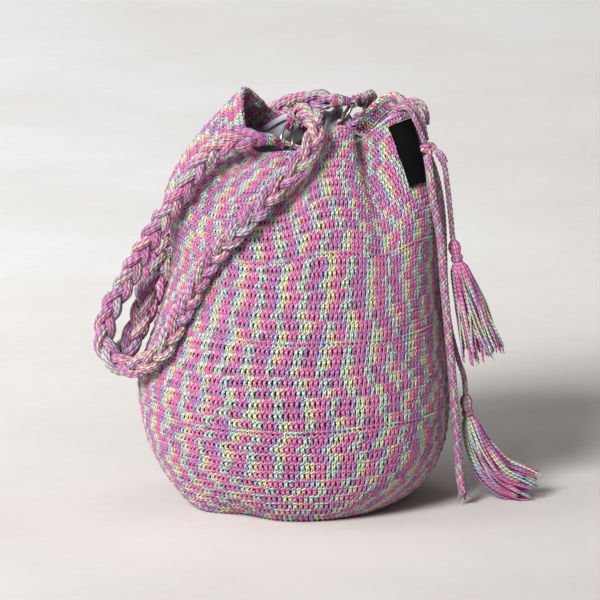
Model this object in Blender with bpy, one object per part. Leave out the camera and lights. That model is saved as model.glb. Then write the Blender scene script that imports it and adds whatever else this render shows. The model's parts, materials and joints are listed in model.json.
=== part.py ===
"""Crocheted drawstring bucket bag with a gathered mouth, two braided handles and two tassels.

Metres, +Z up. The origin is the centre of the flat base on the floor. -Y is the front, and +X is to the
right of someone who looks at the front.
"""

import math

import bmesh
import bpy
import numpy as np
from mathutils import Matrix, Vector

# Crocheted shell
BASE_RADIUS = 0.090
BELLY_HEIGHT = 0.126
BELLY_HALF_WIDTH = 0.154
BELLY_HALF_DEPTH = 0.151
WAIST_HEIGHT = 0.262
WAIST_HALF_WIDTH = 0.132
WAIST_HALF_DEPTH = 0.125
SHOULDER_HEIGHT = 0.308
SHOULDER_HALF_WIDTH = 0.1365
SHOULDER_HALF_DEPTH = 0.110
NECK_HEIGHT = 0.361
NECK_HALF_WIDTH = 0.116
NECK_HALF_DEPTH = 0.082
CROWN_HEIGHT = 0.420
CROWN_HALF_WIDTH = 0.077
CROWN_HALF_DEPTH = 0.055
# The slouch: how far each part's centre sits to the right of the base's centre
BELLY_LEAN = -0.007
WAIST_LEAN = 0.005
SHOULDER_LEAN = 0.001
NECK_LEAN = 0.004
CROWN_LEAN = 0.014
BASE_ROUNDING = 2.6
BASE_FLARE = 1.6
SHELL_THICKNESS = 0.004
RIDGE_HEIGHTS = (0.100, 0.187, 0.273)
RIDGE_DEPTH = 0.0014
RIDGE_HALF_WIDTH = 0.003
BASE_DENT_HEIGHT = 0.060
# Bulges and dents of the base's edge: direction in degrees and how far out
BASE_DENTS = (
    (-175, 0.000),
    (-146, 0.011),
    (-126, -0.010),
    (-100, 0.004),
    (-66, 0.000),
    (-28, -0.007),
    (20, 0.000),
    (100, 0.003),
)

# Gathered mouth: each fold's direction in degrees, its reach as a share of the mouth's radius, and how
# far its edge stands above the rim's height
MOUTH_RADIUS = 0.080
MOUTH_LEAN = 0.026
RIM_HEIGHT = 0.390
PLEAT_START_HEIGHT = 0.150
PLEAT_POWER = 3.2
RIM_FOLDS = (
    (-173, 1.07, 0.027),
    (-160, 1.10, -0.004),
    (-144, 1.13, -0.030),
    (-120, 0.98, -0.029),
    (-100, 0.56, -0.022),
    (-85, 0.80, -0.001),
    (-68, 0.80, -0.001),
    (-52, 0.58, -0.022),
    (-36, 0.92, 0.004),
    (-17, 1.08, 0.011),
    (3, 1.08, 0.008),
    (24, 0.90, 0.018),
    (50, 0.56, -0.012),
    (72, 0.74, -0.008),
    (98, 0.72, -0.014),
    (122, 0.58, -0.010),
    (145, 0.86, 0.000),
    (165, 0.86, 0.014),
)

# Levels at which the shell's rings lie, as heights below a rim of even height
OUTER_LEVELS = (0.004, 0.012, 0.026, 0.046, 0.070, 0.126, 0.150, 0.168, 0.212, 0.234, 0.254, 0.292, 0.308)
OUTER_PLEAT_LEVELS = (0.322, 0.336, 0.349, 0.361, 0.371, 0.381)
INNER_LEVELS = (0.012, 0.046, 0.126, 0.187, 0.230, 0.262, 0.292, 0.318, 0.342, 0.361)
INNER_RIM_LEVELS = (0.381,)
COLUMNS = 54

# Lining
LINING_THICKNESS = 0.0012
LINING_GAP = 0.0005

# Steel rings, each stated by its centre, by the direction of the side that turns away from the front,
# and by how far its top leans to the right, in degrees
RING_RADIUS = 0.0145
RING_WIRE_RADIUS = 0.0016
RING_FRONT_CENTRE = (-0.013, -0.051, 0.3765)
RING_FRONT_TURN = 66.0
RING_FRONT_LEAN = 0.0
RING_BACK_CENTRE = (0.0475, 0.022, 0.391)
RING_BACK_TURN = 90.0
RING_BACK_LEAN = 31.0
RING_SEGMENTS = 24
RING_WIRE_SIDES = 6

# Yarn eyes round the rings' wire: the wrapped ends of the handles, and the tabs sewn inside the rim
EYE_CLEARANCE = 0.0005
EYE_YARN_RADIUS = 0.0024
EYE_NECK_LIFT = 0.0008
EYE_SEGMENTS = 10
EYE_YARN_SIDES = 5
NECK_SIDES = 8
WHIPPING_NECK_RADIUS = 0.0043
WHIPPING_RADIUS = 0.0076
WHIPPING_STRAIGHT = 0.005
TAB_NECK_RADIUS = 0.0030
TAB_RADIUS = 0.0038
TAB_FRONT_ANGLE = -136.0
TAB_BACK_ANGLE = 52.0
TAB_LEVEL = 0.3810
TAB_GAP = 0.0005
TAB_WIRE_ANGLE = 270.0
TAB_DROP = 0.0075
TAB_BEND = 0.25

# Cords, each with its radius and the points that its route is drawn through
HANDLE_RADIUS = 0.011
DRAWSTRING_RADIUS = 0.003
TIE_CORD_RADIUS = 0.0045
TIE_STUB_RADIUS = 0.0031
RIM_TAIL_RADIUS = 0.004
# How far apart the points of each tube lie
HANDLE_SPACING = 0.027
DRAWSTRING_SPACING = 0.0135
END_SPACING = 0.015
TIE_CORD_SPACING = 0.022
TIE_STUB_SPACING = 0.008
RIM_TAIL_SPACING = 0.009
HANDLE_FRONT_ROUTE = (
    (-0.038, -0.078, 0.383),
    (-0.055, -0.084, 0.385),
    (-0.075, -0.078, 0.378),
    (-0.095, -0.068, 0.360),
    (-0.110, -0.066, 0.339),
    (-0.122, -0.062, 0.319),
    (-0.137, -0.053, 0.297),
    (-0.150, -0.048, 0.274),
    (-0.162, -0.043, 0.253),
    (-0.175, -0.042, 0.228),
    (-0.187, -0.042, 0.207),
    (-0.194, -0.043, 0.187),
    (-0.195, -0.045, 0.168),
    (-0.188, -0.050, 0.155),
    (-0.172, -0.060, 0.148),
    (-0.151, -0.078, 0.158),
    (-0.135, -0.089, 0.175),
    (-0.120, -0.090, 0.204),
    (-0.106, -0.095, 0.231),
    (-0.095, -0.100, 0.255),
    (-0.080, -0.108, 0.277),
    (-0.060, -0.114, 0.299),
    (-0.038, -0.112, 0.322),
    (-0.020, -0.107, 0.343),
    (-0.002, -0.103, 0.362),
    (0.010, -0.100, 0.378),
    (0.015, -0.092, 0.393),
    (0.013, -0.078, 0.403),
    (0.005, -0.063, 0.408),
    (-0.003, -0.052, 0.404),
)
HANDLE_BACK_ROUTE = (
    (0.038, 0.018, 0.403),
    (0.021, 0.026, 0.402),
    (0.003, 0.041, 0.397),
    (-0.013, 0.061, 0.389),
    (-0.036, 0.083, 0.370),
    (-0.066, 0.096, 0.346),
    (-0.096, 0.092, 0.320),
    (-0.120, 0.066, 0.294),
    (-0.134, 0.040, 0.270),
    (-0.145, 0.016, 0.243),
    (-0.152, 0.001, 0.224),
    (-0.156, -0.010, 0.206),
    (-0.162, -0.016, 0.184),
    (-0.172, -0.022, 0.163),
    (-0.181, -0.018, 0.148),
    (-0.180, 0.000, 0.140),
    (-0.175, 0.020, 0.145),
    (-0.167, 0.038, 0.158),
    (-0.158, 0.054, 0.174),
    (-0.146, 0.066, 0.196),
    (-0.136, 0.072, 0.222),
    (-0.127, 0.080, 0.246),
    (-0.108, 0.100, 0.270),
    (-0.075, 0.118, 0.294),
    (-0.030, 0.124, 0.314),
    (0.012, 0.116, 0.334),
    (0.048, 0.100, 0.355),
    (0.069, 0.080, 0.377),
    (0.072, 0.066, 0.391),
    (0.068, 0.051, 0.399),
    (0.060, 0.038, 0.400),
)
DRAWSTRING_ROUTE = (
    (0.1215, -0.0415, 0.3760),
    (0.1160, -0.0440, 0.3920),
    (0.1060, -0.0410, 0.4080),
    (0.0950, -0.0340, 0.4040),
    (0.0880, -0.0280, 0.3880),
    (0.0800, -0.0280, 0.3700),
    (0.0670, -0.0270, 0.3620),
    (0.0500, -0.0240, 0.3560),
    (0.0320, -0.0300, 0.3560),
    (0.0150, -0.0290, 0.3540),
    (-0.0080, -0.0420, 0.3460),
    (-0.0350, -0.0420, 0.3420),
    (-0.0500, -0.0240, 0.3500),
    (-0.0520, -0.0040, 0.3660),
    (-0.0400, 0.0140, 0.3660),
    (-0.0200, 0.0260, 0.3600),
    (0.0020, 0.0300, 0.3520),
    (0.0220, 0.0340, 0.3500),
    (0.0400, 0.0220, 0.3500),
    (0.0640, 0.0160, 0.3600),
    (0.0830, 0.0100, 0.3760),
    (0.0930, 0.0000, 0.3900),
    (0.1000, -0.0120, 0.4040),
    (0.1090, -0.0220, 0.4090),
    (0.1185, -0.0270, 0.3990),
    (0.1240, -0.0290, 0.3800),
)
SHORT_END_ROUTE = (
    (0.1375, -0.0325, 0.3605),
    (0.1430, -0.0315, 0.3480),
    (0.1460, -0.0305, 0.3300),
    (0.1485, -0.0300, 0.3100),
    (0.1505, -0.0300, 0.2910),
    (0.1523, -0.0300, 0.2718),
)
LONG_END_ROUTE = (
    (0.1305, -0.0350, 0.3530),
    (0.1355, -0.0350, 0.3390),
    (0.1390, -0.0340, 0.3230),
    (0.1425, -0.0310, 0.2970),
    (0.1440, -0.0280, 0.2610),
    (0.1450, -0.0280, 0.2300),
    (0.1490, -0.0260, 0.1860),
    (0.1580, -0.0180, 0.1470),
    (0.1640, -0.0150, 0.1280),
    (0.1656, -0.0140, 0.1108),
)
TIE_CORD_ROUTE = (
    (0.1265, -0.0460, 0.3570),
    (0.1290, -0.0515, 0.3430),
    (0.1330, -0.0520, 0.3140),
    (0.1395, -0.0470, 0.2780),
    (0.1430, -0.0430, 0.2320),
    (0.1470, -0.0400, 0.1880),
    (0.1520, -0.0380, 0.1330),
    (0.1550, -0.0360, 0.0900),
    (0.1580, -0.0340, 0.0540),
    (0.1600, -0.0320, 0.0300),
    (0.1630, -0.0300, 0.0120),
)
TIE_STUB_ROUTE = (
    (0.1360, -0.0410, 0.3635),
    (0.1410, -0.0440, 0.3600),
    (0.1445, -0.0450, 0.3530),
)
RIM_TAIL_ROUTE = (
    (0.1010, 0.0040, 0.3940),
    (0.1050, 0.0040, 0.4020),
    (0.1120, 0.0030, 0.4055),
    (0.1200, 0.0000, 0.4040),
    (0.1255, -0.0030, 0.3960),
    (0.1275, -0.0040, 0.3830),
)

# Knot that gathers the cords outside the rim
KNOT_RADIUS = 0.0085
KNOT_SIDES = 12
KNOT_ROWS = 7
KNOT_LOBES = 3
KNOT_LOBE_DEPTH = 0.0012
KNOT_SLANT = 0.8
KNOT_ANGLE = -19.0
KNOT_LEVEL = 0.353

# Tassels: spine points from the top of the head to the tips, with the half width and half height there
TASSEL_SHORT_SPINE = (
    (0.1525, -0.030, 0.2710),
    (0.1550, -0.030, 0.2590),
    (0.1580, -0.030, 0.2460),
    (0.1680, -0.028, 0.2100),
    (0.1820, -0.026, 0.1570),
)
TASSEL_LONG_SPINE = (
    (0.1655, -0.014, 0.1100),
    (0.1668, -0.014, 0.0980),
    (0.1700, -0.014, 0.0820),
    (0.1800, -0.010, 0.0540),
    (0.1990, -0.005, 0.0270),
    (0.2240, 0.001, 0.0135),
)
TASSEL_HEAD_RADIUS = 0.0068
TASSEL_HEAD_LENGTH = 0.016
TASSEL_NECK_RADIUS = 0.0044
TASSEL_TIP_HALF_WIDTH = 0.0150
TASSEL_TIP_HALF_HEIGHT = 0.0110
TASSEL_SIDES = 10
# The tassel's outline: how far along, and the half width and half height there; the head's stations are
# shares of the head's length and radius, the flare's of the neck's radius, the skirt's of the tips'
HEAD_STATIONS = ((0.0, 0.35), (0.2, 0.85), (0.5, 1.0), (0.8, 0.85))
FLARE_STATION = (0.5, 1.6, 1.5)
SKIRT_STATION = (0.6, 0.66, 0.80)
BINDING_THICKNESS = 0.0016
BINDING_WIDTH = 0.0060
BINDING_GAP = 0.0005

# Woven label on the front right fold, stated by its middle on the shell
LABEL_WIDTH = 0.026
LABEL_HEIGHT = 0.064
LABEL_THICKNESS = 0.0008
LABEL_ANGLE = -29.0
LABEL_LEVEL = 0.355
LABEL_TURN = -2.0
LABEL_LIFT = 0.0008
LABEL_COLUMNS = 3
LABEL_ROWS = 6

# A direction that no tassel, tab or whipping runs along
SPINE_SIDE = Vector((1, 0.25, 0.3))

# Space kept between pieces that touch, and between the knot's lumps and the cords that leave it
GAP = 0.0003
KNOT_GAP = 0.0007


def hermite(knots, values, at):
    """A smooth curve through the knots, with each slope taken from its neighbours, read at some places."""
    knots, values, at = np.asarray(knots), np.asarray(values), np.asarray(at, dtype=float)
    slopes = np.gradient(values, knots, axis=0)
    span = np.clip(np.searchsorted(knots, at, side="right") - 1, 0, len(knots) - 2)
    width = knots[span + 1] - knots[span]
    part = np.clip((at - knots[span]) / width, 0, 1)
    rising = part * part * (3 - 2 * part)
    start, end = part * (1 - part) ** 2, part * part * (part - 1)
    return (
        values[span] * (1 - rising)
        + values[span + 1] * rising
        + width * (slopes[span] * start + slopes[span + 1] * end)
    )


def round_hermite(table, column, at_degrees):
    """The same smooth curve for a table whose first column is a direction, closed on itself."""
    rows = sorted(table)
    rows = [(r[0] - 360, *r[1:]) for r in rows] + rows + [(r[0] + 360, *r[1:]) for r in rows]
    return hermite([r[0] for r in rows], [r[column] for r in rows], at_degrees)


STATION_HEIGHTS = (BELLY_HEIGHT, WAIST_HEIGHT, SHOULDER_HEIGHT, NECK_HEIGHT, CROWN_HEIGHT)
HALF_WIDTHS = (BELLY_HALF_WIDTH, WAIST_HALF_WIDTH, SHOULDER_HALF_WIDTH, NECK_HALF_WIDTH, CROWN_HALF_WIDTH)
HALF_DEPTHS = (BELLY_HALF_DEPTH, WAIST_HALF_DEPTH, SHOULDER_HALF_DEPTH, NECK_HALF_DEPTH, CROWN_HALF_DEPTH)
LEANS = (BELLY_LEAN, WAIST_LEAN, SHOULDER_LEAN, NECK_LEAN, CROWN_LEAN)


def section(heights):
    """Half width, half depth and centre of the shell's oval section at each height."""
    rise = np.clip(heights / BELLY_HEIGHT, 0, 1)
    bulge = (1 - (1 - rise) ** BASE_ROUNDING) ** (1 / BASE_FLARE)
    low = heights < BELLY_HEIGHT
    wide = np.where(
        low,
        BASE_RADIUS + (BELLY_HALF_WIDTH - BASE_RADIUS) * bulge,
        hermite(STATION_HEIGHTS, HALF_WIDTHS, heights),
    )
    deep = np.where(
        low,
        BASE_RADIUS + (BELLY_HALF_DEPTH - BASE_RADIUS) * bulge,
        hermite(STATION_HEIGHTS, HALF_DEPTHS, heights),
    )
    lean = np.where(low, BELLY_LEAN * rise, hermite(STATION_HEIGHTS, LEANS, heights))
    return wide, deep, lean


def oval(angles, heights):
    """Points of the shell before it is gathered, at these directions (radians) and heights."""
    wide, deep, lean = section(heights)
    fade = np.clip(1 - heights / BASE_DENT_HEIGHT, 0, 1) ** 2
    dent = fade * round_hermite(BASE_DENTS, 1, np.degrees(angles))
    return np.stack(
        [lean + (wide + dent) * np.cos(angles), (deep + dent) * np.sin(angles), heights], axis=-1
    )


def rim(angles):
    """Points of the gathered rim."""
    degrees = np.degrees(angles)
    reach = MOUTH_RADIUS * round_hermite(RIM_FOLDS, 1, degrees)
    height = RIM_HEIGHT + round_hermite(RIM_FOLDS, 2, degrees)
    return np.stack([MOUTH_LEAN + reach * np.cos(angles), reach * np.sin(angles), height], axis=-1)


def shell(angles, level):
    """Points of the shell's outside at one level, a height below a rim of even height."""
    edge = rim(angles)
    up = (level - PLEAT_START_HEIGHT) / (RIM_HEIGHT - PLEAT_START_HEIGHT)
    if up <= 0:
        return oval(angles, np.full_like(angles, level))
    heights = PLEAT_START_HEIGHT + up * (edge[:, 2] - PLEAT_START_HEIGHT)
    return oval(angles, heights) + up**PLEAT_POWER * (edge - oval(angles, edge[:, 2]))


def outward(angles, level):
    """Unit normals of the shell at one level."""
    step = 1e-3
    turn = shell(angles + step, level) - shell(angles - step, level)
    top = min(level + step, RIM_HEIGHT)
    rise = shell(angles, top) - shell(angles, max(level - step, 0))
    normals = np.cross(turn, rise)
    return normals / np.linalg.norm(normals, axis=1)[:, None]


def layer(angles, level, depth):
    """The shell's points at one level, moved inwards by a depth."""
    return shell(angles, level) - depth * outward(angles, level)


def floor_ring(angles, depth):
    """Edge of the flat base, moved inwards and up by a depth."""
    ring = oval(angles, np.zeros_like(angles))
    ring[:, :2] *= 1 - depth / BASE_RADIUS
    ring[:, 2] = depth
    return ring


COLUMN_ANGLES = np.radians(np.arange(COLUMNS) * (360 / COLUMNS))


def new_object(name, mesh, colour, roughness, metallic=0.0):
    material = bpy.data.materials.new(name)
    material.use_nodes = True
    shader = material.node_tree.nodes["Principled BSDF"]
    shader.inputs["Base Color"].default_value = (*colour, 1.0)
    shader.inputs["Roughness"].default_value = roughness
    shader.inputs["Metallic"].default_value = metallic
    mesh.materials.append(material)
    made = bpy.data.objects.new(name, mesh)
    bpy.context.scene.collection.objects.link(made)
    return made


def lofted(name, rings):
    """A closed mesh through rings of points, whose first and last rings are filled as fans."""
    mesh = bmesh.new()
    rows = [[mesh.verts.new(p) for p in ring] for ring in rings]
    count = len(rows[0])
    for lower, upper in zip(rows, rows[1:]):
        rising = upper[0].co.z > lower[0].co.z
        for i in range(count):
            j = (i + 1) % count
            near, far = (lower, upper) if rising else (upper, lower)
            mesh.faces.new((near[i], near[j], far[j]))
            mesh.faces.new((near[i], far[j], far[i]))
    for row, ring in ((rows[0], rings[0]), (rows[-1], rings[-1])):
        middle = mesh.verts.new(np.mean([tuple(p) for p in ring], axis=0))
        for i in range(count):
            mesh.faces.new((row[i], row[(i + 1) % count], middle))
    bmesh.ops.recalc_face_normals(mesh, faces=mesh.faces)
    data = bpy.data.meshes.new(name)
    mesh.to_mesh(data)
    mesh.free()
    data.shade_smooth()
    data.set_sharp_from_angle(angle=math.radians(50))
    return data


def swept(name, spine, reaches, sides):
    """A closed mesh of oval sections along a spine, each with its half width and half height."""
    rings = []
    for (point, level, up), (across, over) in zip(spine_frames(spine), reaches):
        turns = [2 * math.pi * i / sides for i in range(sides)]
        rings.append([point + level * across * math.cos(t) + up * over * math.sin(t) for t in turns])
    return lofted(name, rings)


def spine_frames(spine):
    """Each spine point with two axes across it: one level, one upwards."""
    points = [Vector(p) for p in spine]
    frames = []
    for i, point in enumerate(points):
        along = direction(points, i)
        level = along.cross(SPINE_SIDE).normalized()
        frames.append((point, level, level.cross(along).normalized()))
    return frames


def direction(points, i):
    """The way a row of points runs at one of them."""
    return (Vector(points[min(i + 1, len(points) - 1)]) - Vector(points[max(i - 1, 0)])).normalized()


def outer_rings():
    """The outside of the shell from the base to the rim, with the raised single crochet rounds."""
    ridged = []
    for height in RIDGE_HEIGHTS:
        ridged.append((height - RIDGE_HALF_WIDTH, 0.0))
        ridged.append((height, RIDGE_DEPTH))
        ridged.append((height + RIDGE_HALF_WIDTH, 0.0))
    levels = [(level, 0.0) for level in OUTER_LEVELS + OUTER_PLEAT_LEVELS + (RIM_HEIGHT,)]
    rings = [floor_ring(COLUMN_ANGLES, 0.0)]
    for level, raised in sorted(levels + ridged):
        rings.append(layer(COLUMN_ANGLES, level, -raised))
    return rings


def make_body():
    rings = outer_rings()
    lip = shell(COLUMN_ANGLES, RIM_HEIGHT) - SHELL_THICKNESS / 2 * outward(COLUMN_ANGLES, RIM_HEIGHT)
    lip[:, 2] += SHELL_THICKNESS / 3
    rings.append(lip)
    for level in reversed(INNER_LEVELS + INNER_RIM_LEVELS + (RIM_HEIGHT,)):
        rings.append(layer(COLUMN_ANGLES, level, SHELL_THICKNESS))
    rings.append(floor_ring(COLUMN_ANGLES, SHELL_THICKNESS))
    return new_object("bag_body", lofted("bag_body", rings), (0.62, 0.30, 0.48), 0.9)


def make_lining():
    outside = SHELL_THICKNESS + LINING_GAP
    inside = outside + LINING_THICKNESS
    rings = [floor_ring(COLUMN_ANGLES, outside)]
    rings += [layer(COLUMN_ANGLES, level, outside) for level in INNER_LEVELS]
    rings += [layer(COLUMN_ANGLES, level, inside) for level in reversed(INNER_LEVELS)]
    rings.append(floor_ring(COLUMN_ANGLES, inside))
    return new_object("lining", lofted("lining", rings), (0.42, 0.38, 0.46), 0.7)


def route_length(route):
    """How far it is from point to point of a route."""
    return float(np.linalg.norm(np.diff(np.array(route), axis=0), axis=1).sum())


def route_points(route, distances):
    """Points of a smooth curve through the route's points, at distances from its start."""
    route = np.array(route)
    along = np.concatenate([[0], np.cumsum(np.linalg.norm(np.diff(route, axis=0), axis=1))])
    return np.stack([hermite(along, route[:, axis], distances) for axis in range(3)], axis=1)


def smooth_route(route, spacing):
    """Evenly spaced points of a smooth curve through the route's points."""
    length = route_length(route)
    steps = max(2, round(length / spacing))
    return route_points(route, np.linspace(0, length, steps + 1))


def make_tube(name, route, radius, spacing, colour):
    """A plain cord: a round tube with flat ends through evenly spaced points of its route."""
    data = bpy.data.curves.new(name, "CURVE")
    data.dimensions = "3D"
    data.bevel_depth = radius
    data.bevel_resolution = 2
    data.use_fill_caps = True
    points = smooth_route(route, spacing)
    spline = data.splines.new("POLY")
    spline.points.add(len(points) - 1)
    for point, place in zip(spline.points, points):
        point.co = (*place, 1.0)
    return new_object(name, data, colour, 0.9)


class Ring:
    """A steel ring's centre and its plane's axes: across, away from the front, and up, along its lean."""

    def __init__(self, centre, turn, lean):
        turn, lean = math.radians(turn), math.radians(lean)
        self.centre = Vector(centre)
        self.across = Vector((math.cos(turn), math.sin(turn), 0))
        sideways = Vector((math.sin(turn), -math.cos(turn), 0))
        self.up = Vector((0, 0, math.cos(lean))) + sideways * math.sin(lean)

    def wire(self, degrees):
        """The middle of the wire at an angle from the across axis, and the wire's direction there."""
        angle = math.radians(degrees)
        outwards = self.across * math.cos(angle) + self.up * math.sin(angle)
        along = self.up * math.cos(angle) - self.across * math.sin(angle)
        return self.centre + outwards * RING_RADIUS, along

    def turned(self):
        """The rotation that lays a flat ring into this ring's plane."""
        axis = self.across.cross(self.up)
        return Matrix((self.across, self.up, axis)).transposed().to_euler()


RING_FRONT = Ring(RING_FRONT_CENTRE, RING_FRONT_TURN, RING_FRONT_LEAN)
RING_BACK = Ring(RING_BACK_CENTRE, RING_BACK_TURN, RING_BACK_LEAN)


def torus(major, minor, around, sides):
    """A round ring about Z at the origin, as points and faces."""
    points, faces = [], []
    for i in range(around):
        turn = 2 * math.pi * i / around
        for j in range(sides):
            side = 2 * math.pi * j / sides
            reach = major + minor * math.cos(side)
            points.append((reach * math.cos(turn), reach * math.sin(turn), minor * math.sin(side)))
            a, b = i * sides + j, i * sides + (j + 1) % sides
            c, d = (i + 1) % around * sides + j, (i + 1) % around * sides + (j + 1) % sides
            faces.append((a, c, d, b))
    return points, faces


def make_ring(name, ring):
    points, faces = torus(RING_RADIUS, RING_WIRE_RADIUS, RING_SEGMENTS, RING_WIRE_SIDES)
    data = bpy.data.meshes.new(name)
    data.from_pydata(points, [], faces)
    data.shade_smooth()
    made = new_object(name, data, (0.55, 0.50, 0.42), 0.3, 1.0)
    made.location = ring.centre
    made.rotation_euler = ring.turned()
    return made


def make_eye(name, ring, wire_angle, path, neck_radius, end_radius, colour):
    """Yarn wrapped round the ring's wire, with a wrapped neck from there through a path's points."""
    place, along = ring.wire(wire_angle)
    reach = RING_WIRE_RADIUS + EYE_CLEARANCE + EYE_YARN_RADIUS
    points, faces = torus(reach, EYE_YARN_RADIUS, EYE_SEGMENTS, EYE_YARN_SIDES)
    turn = along.to_track_quat("Z", "Y").to_matrix()
    data = bpy.data.meshes.new(name)
    data.from_pydata([place + turn @ Vector(p) for p in points], [], faces)
    data.shade_smooth()
    made = new_object(name, data, colour, 0.9)
    start = place + (Vector(path[0]) - place).normalized() * (reach + EYE_NECK_LIFT)
    radii = np.linspace(neck_radius, end_radius, len(path) + 1)
    neck = swept(name + "_neck", [start, *path], [(r, r) for r in radii], NECK_SIDES)
    tool = bpy.data.objects.new(name + "_neck", neck)
    tool.hide_render = True
    tool.display_type = "WIRE"
    bpy.context.scene.collection.objects.link(tool)
    join = made.modifiers.new("neck", "BOOLEAN")
    join.operation = "UNION"
    join.object = tool
    return made


def handle_end(route, first):
    """The end of a whipping's path: in line with the handle, and just short of its first or last point."""
    points = smooth_route(route, HANDLE_SPACING)
    point, inner = (points[0], points[1]) if first else (points[-1], points[-2])
    back = (Vector(point) - Vector(inner)).normalized()
    end = Vector(point) + back * GAP
    return [end + back * WHIPPING_STRAIGHT, end]


def tab_path(ring, angle):
    """A tab's path: away from the ring's middle, then to a seat just inside the shell's wall."""
    place, _ = ring.wire(TAB_WIRE_ANGLE)
    angles = np.array([math.radians(angle)])
    normal = Vector(outward(angles, TAB_LEVEL)[0])
    seat = Vector(layer(angles, TAB_LEVEL, SHELL_THICKNESS)[0])
    bend = place - ring.up * TAB_DROP + (seat - place) * TAB_BEND
    slant = (seat - bend).normalized().angle(normal)
    return [bend, seat - normal * (TAB_GAP + TAB_RADIUS * math.sin(slant))]


def make_hardware():
    make_ring("ring_front", RING_FRONT)
    make_ring("ring_back", RING_BACK)
    yarn = (0.40, 0.32, 0.28)
    for name, ring, wire_angle, route, first in (
        ("whipping_front_left", RING_FRONT, 180, HANDLE_FRONT_ROUTE, True),
        ("whipping_front_right", RING_FRONT, 62, HANDLE_FRONT_ROUTE, False),
        ("whipping_back_left", RING_BACK, 118, HANDLE_BACK_ROUTE, True),
        ("whipping_back_right", RING_BACK, 62, HANDLE_BACK_ROUTE, False),
    ):
        path = handle_end(route, first)
        make_eye(name, ring, wire_angle, path, WHIPPING_NECK_RADIUS, WHIPPING_RADIUS, yarn)
    for name, ring, angle in (
        ("tab_front", RING_FRONT, TAB_FRONT_ANGLE),
        ("tab_back", RING_BACK, TAB_BACK_ANGLE),
    ):
        path = tab_path(ring, angle)
        make_eye(name, ring, TAB_WIRE_ANGLE, path, TAB_NECK_RADIUS, TAB_RADIUS, (0.62, 0.35, 0.50))


def knot_centre():
    angles = np.array([math.radians(KNOT_ANGLE)])
    return Vector(layer(angles, KNOT_LEVEL, -(KNOT_RADIUS + 3 * GAP))[0])


def make_knot():
    """A lumpy ball: the turns of an overhand knot show as slanting lobes."""
    centre = knot_centre()
    rings = []
    for row in range(1, KNOT_ROWS):
        polar = math.pi * row / KNOT_ROWS
        ring = []
        for side in range(KNOT_SIDES):
            turn = 2 * math.pi * side / KNOT_SIDES
            dent = 0.5 - 0.5 * math.cos(KNOT_LOBES * (turn + KNOT_SLANT * polar))
            reach = KNOT_RADIUS - KNOT_LOBE_DEPTH * dent
            flat = reach * math.sin(polar)
            drop = reach * math.cos(polar)
            ring.append(centre + Vector((flat * math.cos(turn), flat * math.sin(turn), -drop)))
        rings.append(ring)
    new_object("knot", lofted("knot", rings), (0.62, 0.45, 0.35), 0.9)


def from_knot(route):
    """The route, begun just outside the knot's ball."""
    towards = (Vector(route[0]) - knot_centre()).normalized()
    return (tuple(knot_centre() + towards * (KNOT_RADIUS + KNOT_GAP)), *route[1:])


def make_cords():
    pink, mauve = (0.66, 0.36, 0.52), (0.52, 0.36, 0.50)
    make_tube("handle_front", HANDLE_FRONT_ROUTE, HANDLE_RADIUS, HANDLE_SPACING, pink)
    make_tube("handle_back", HANDLE_BACK_ROUTE, HANDLE_RADIUS, HANDLE_SPACING, pink)
    drawn = from_knot(DRAWSTRING_ROUTE)
    drawn = tuple(reversed(from_knot(tuple(reversed(drawn)))))
    make_tube("drawstring", drawn, DRAWSTRING_RADIUS, DRAWSTRING_SPACING, mauve)
    make_tube("drawstring_end_short", from_knot(SHORT_END_ROUTE), DRAWSTRING_RADIUS, END_SPACING, mauve)
    make_tube("drawstring_end_long", from_knot(LONG_END_ROUTE), DRAWSTRING_RADIUS, END_SPACING, mauve)
    make_tube("tie_cord", from_knot(TIE_CORD_ROUTE), TIE_CORD_RADIUS, TIE_CORD_SPACING, mauve)
    make_tube("tie_cord_stub", from_knot(TIE_STUB_ROUTE), TIE_STUB_RADIUS, TIE_STUB_SPACING, mauve)
    make_tube("rim_tail", RIM_TAIL_ROUTE, RIM_TAIL_RADIUS, RIM_TAIL_SPACING, mauve)


def make_tassel(name, route, colour):
    """A tassel: a round head, a bound neck and a skirt of threads that spreads to the tips."""
    head, neck, length = TASSEL_HEAD_RADIUS, TASSEL_NECK_RADIUS, TASSEL_HEAD_LENGTH
    wide, high = TASSEL_TIP_HALF_WIDTH, TASSEL_TIP_HALF_HEIGHT
    bound = length + BINDING_WIDTH + 2 * BINDING_GAP
    tips = route_length(route)
    stations = [(length * along, head * reach, head * reach) for along, reach in HEAD_STATIONS]
    stations += [
        (length, neck, neck),
        (bound, neck, neck),
        (bound + length * FLARE_STATION[0], neck * FLARE_STATION[1], neck * FLARE_STATION[2]),
        (tips * SKIRT_STATION[0], wide * SKIRT_STATION[1], high * SKIRT_STATION[2]),
        (tips, wide, high),
    ]
    spine = route_points(route, [station[0] for station in stations])
    reaches = [station[1:] for station in stations]
    new_object(name, swept(name, spine, reaches, TASSEL_SIDES), colour, 0.9)
    top, bottom = Vector(spine[len(HEAD_STATIONS)]), Vector(spine[len(HEAD_STATIONS) + 1])
    make_binding(name + "_binding", (top + bottom) / 2, bottom - top)


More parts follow.
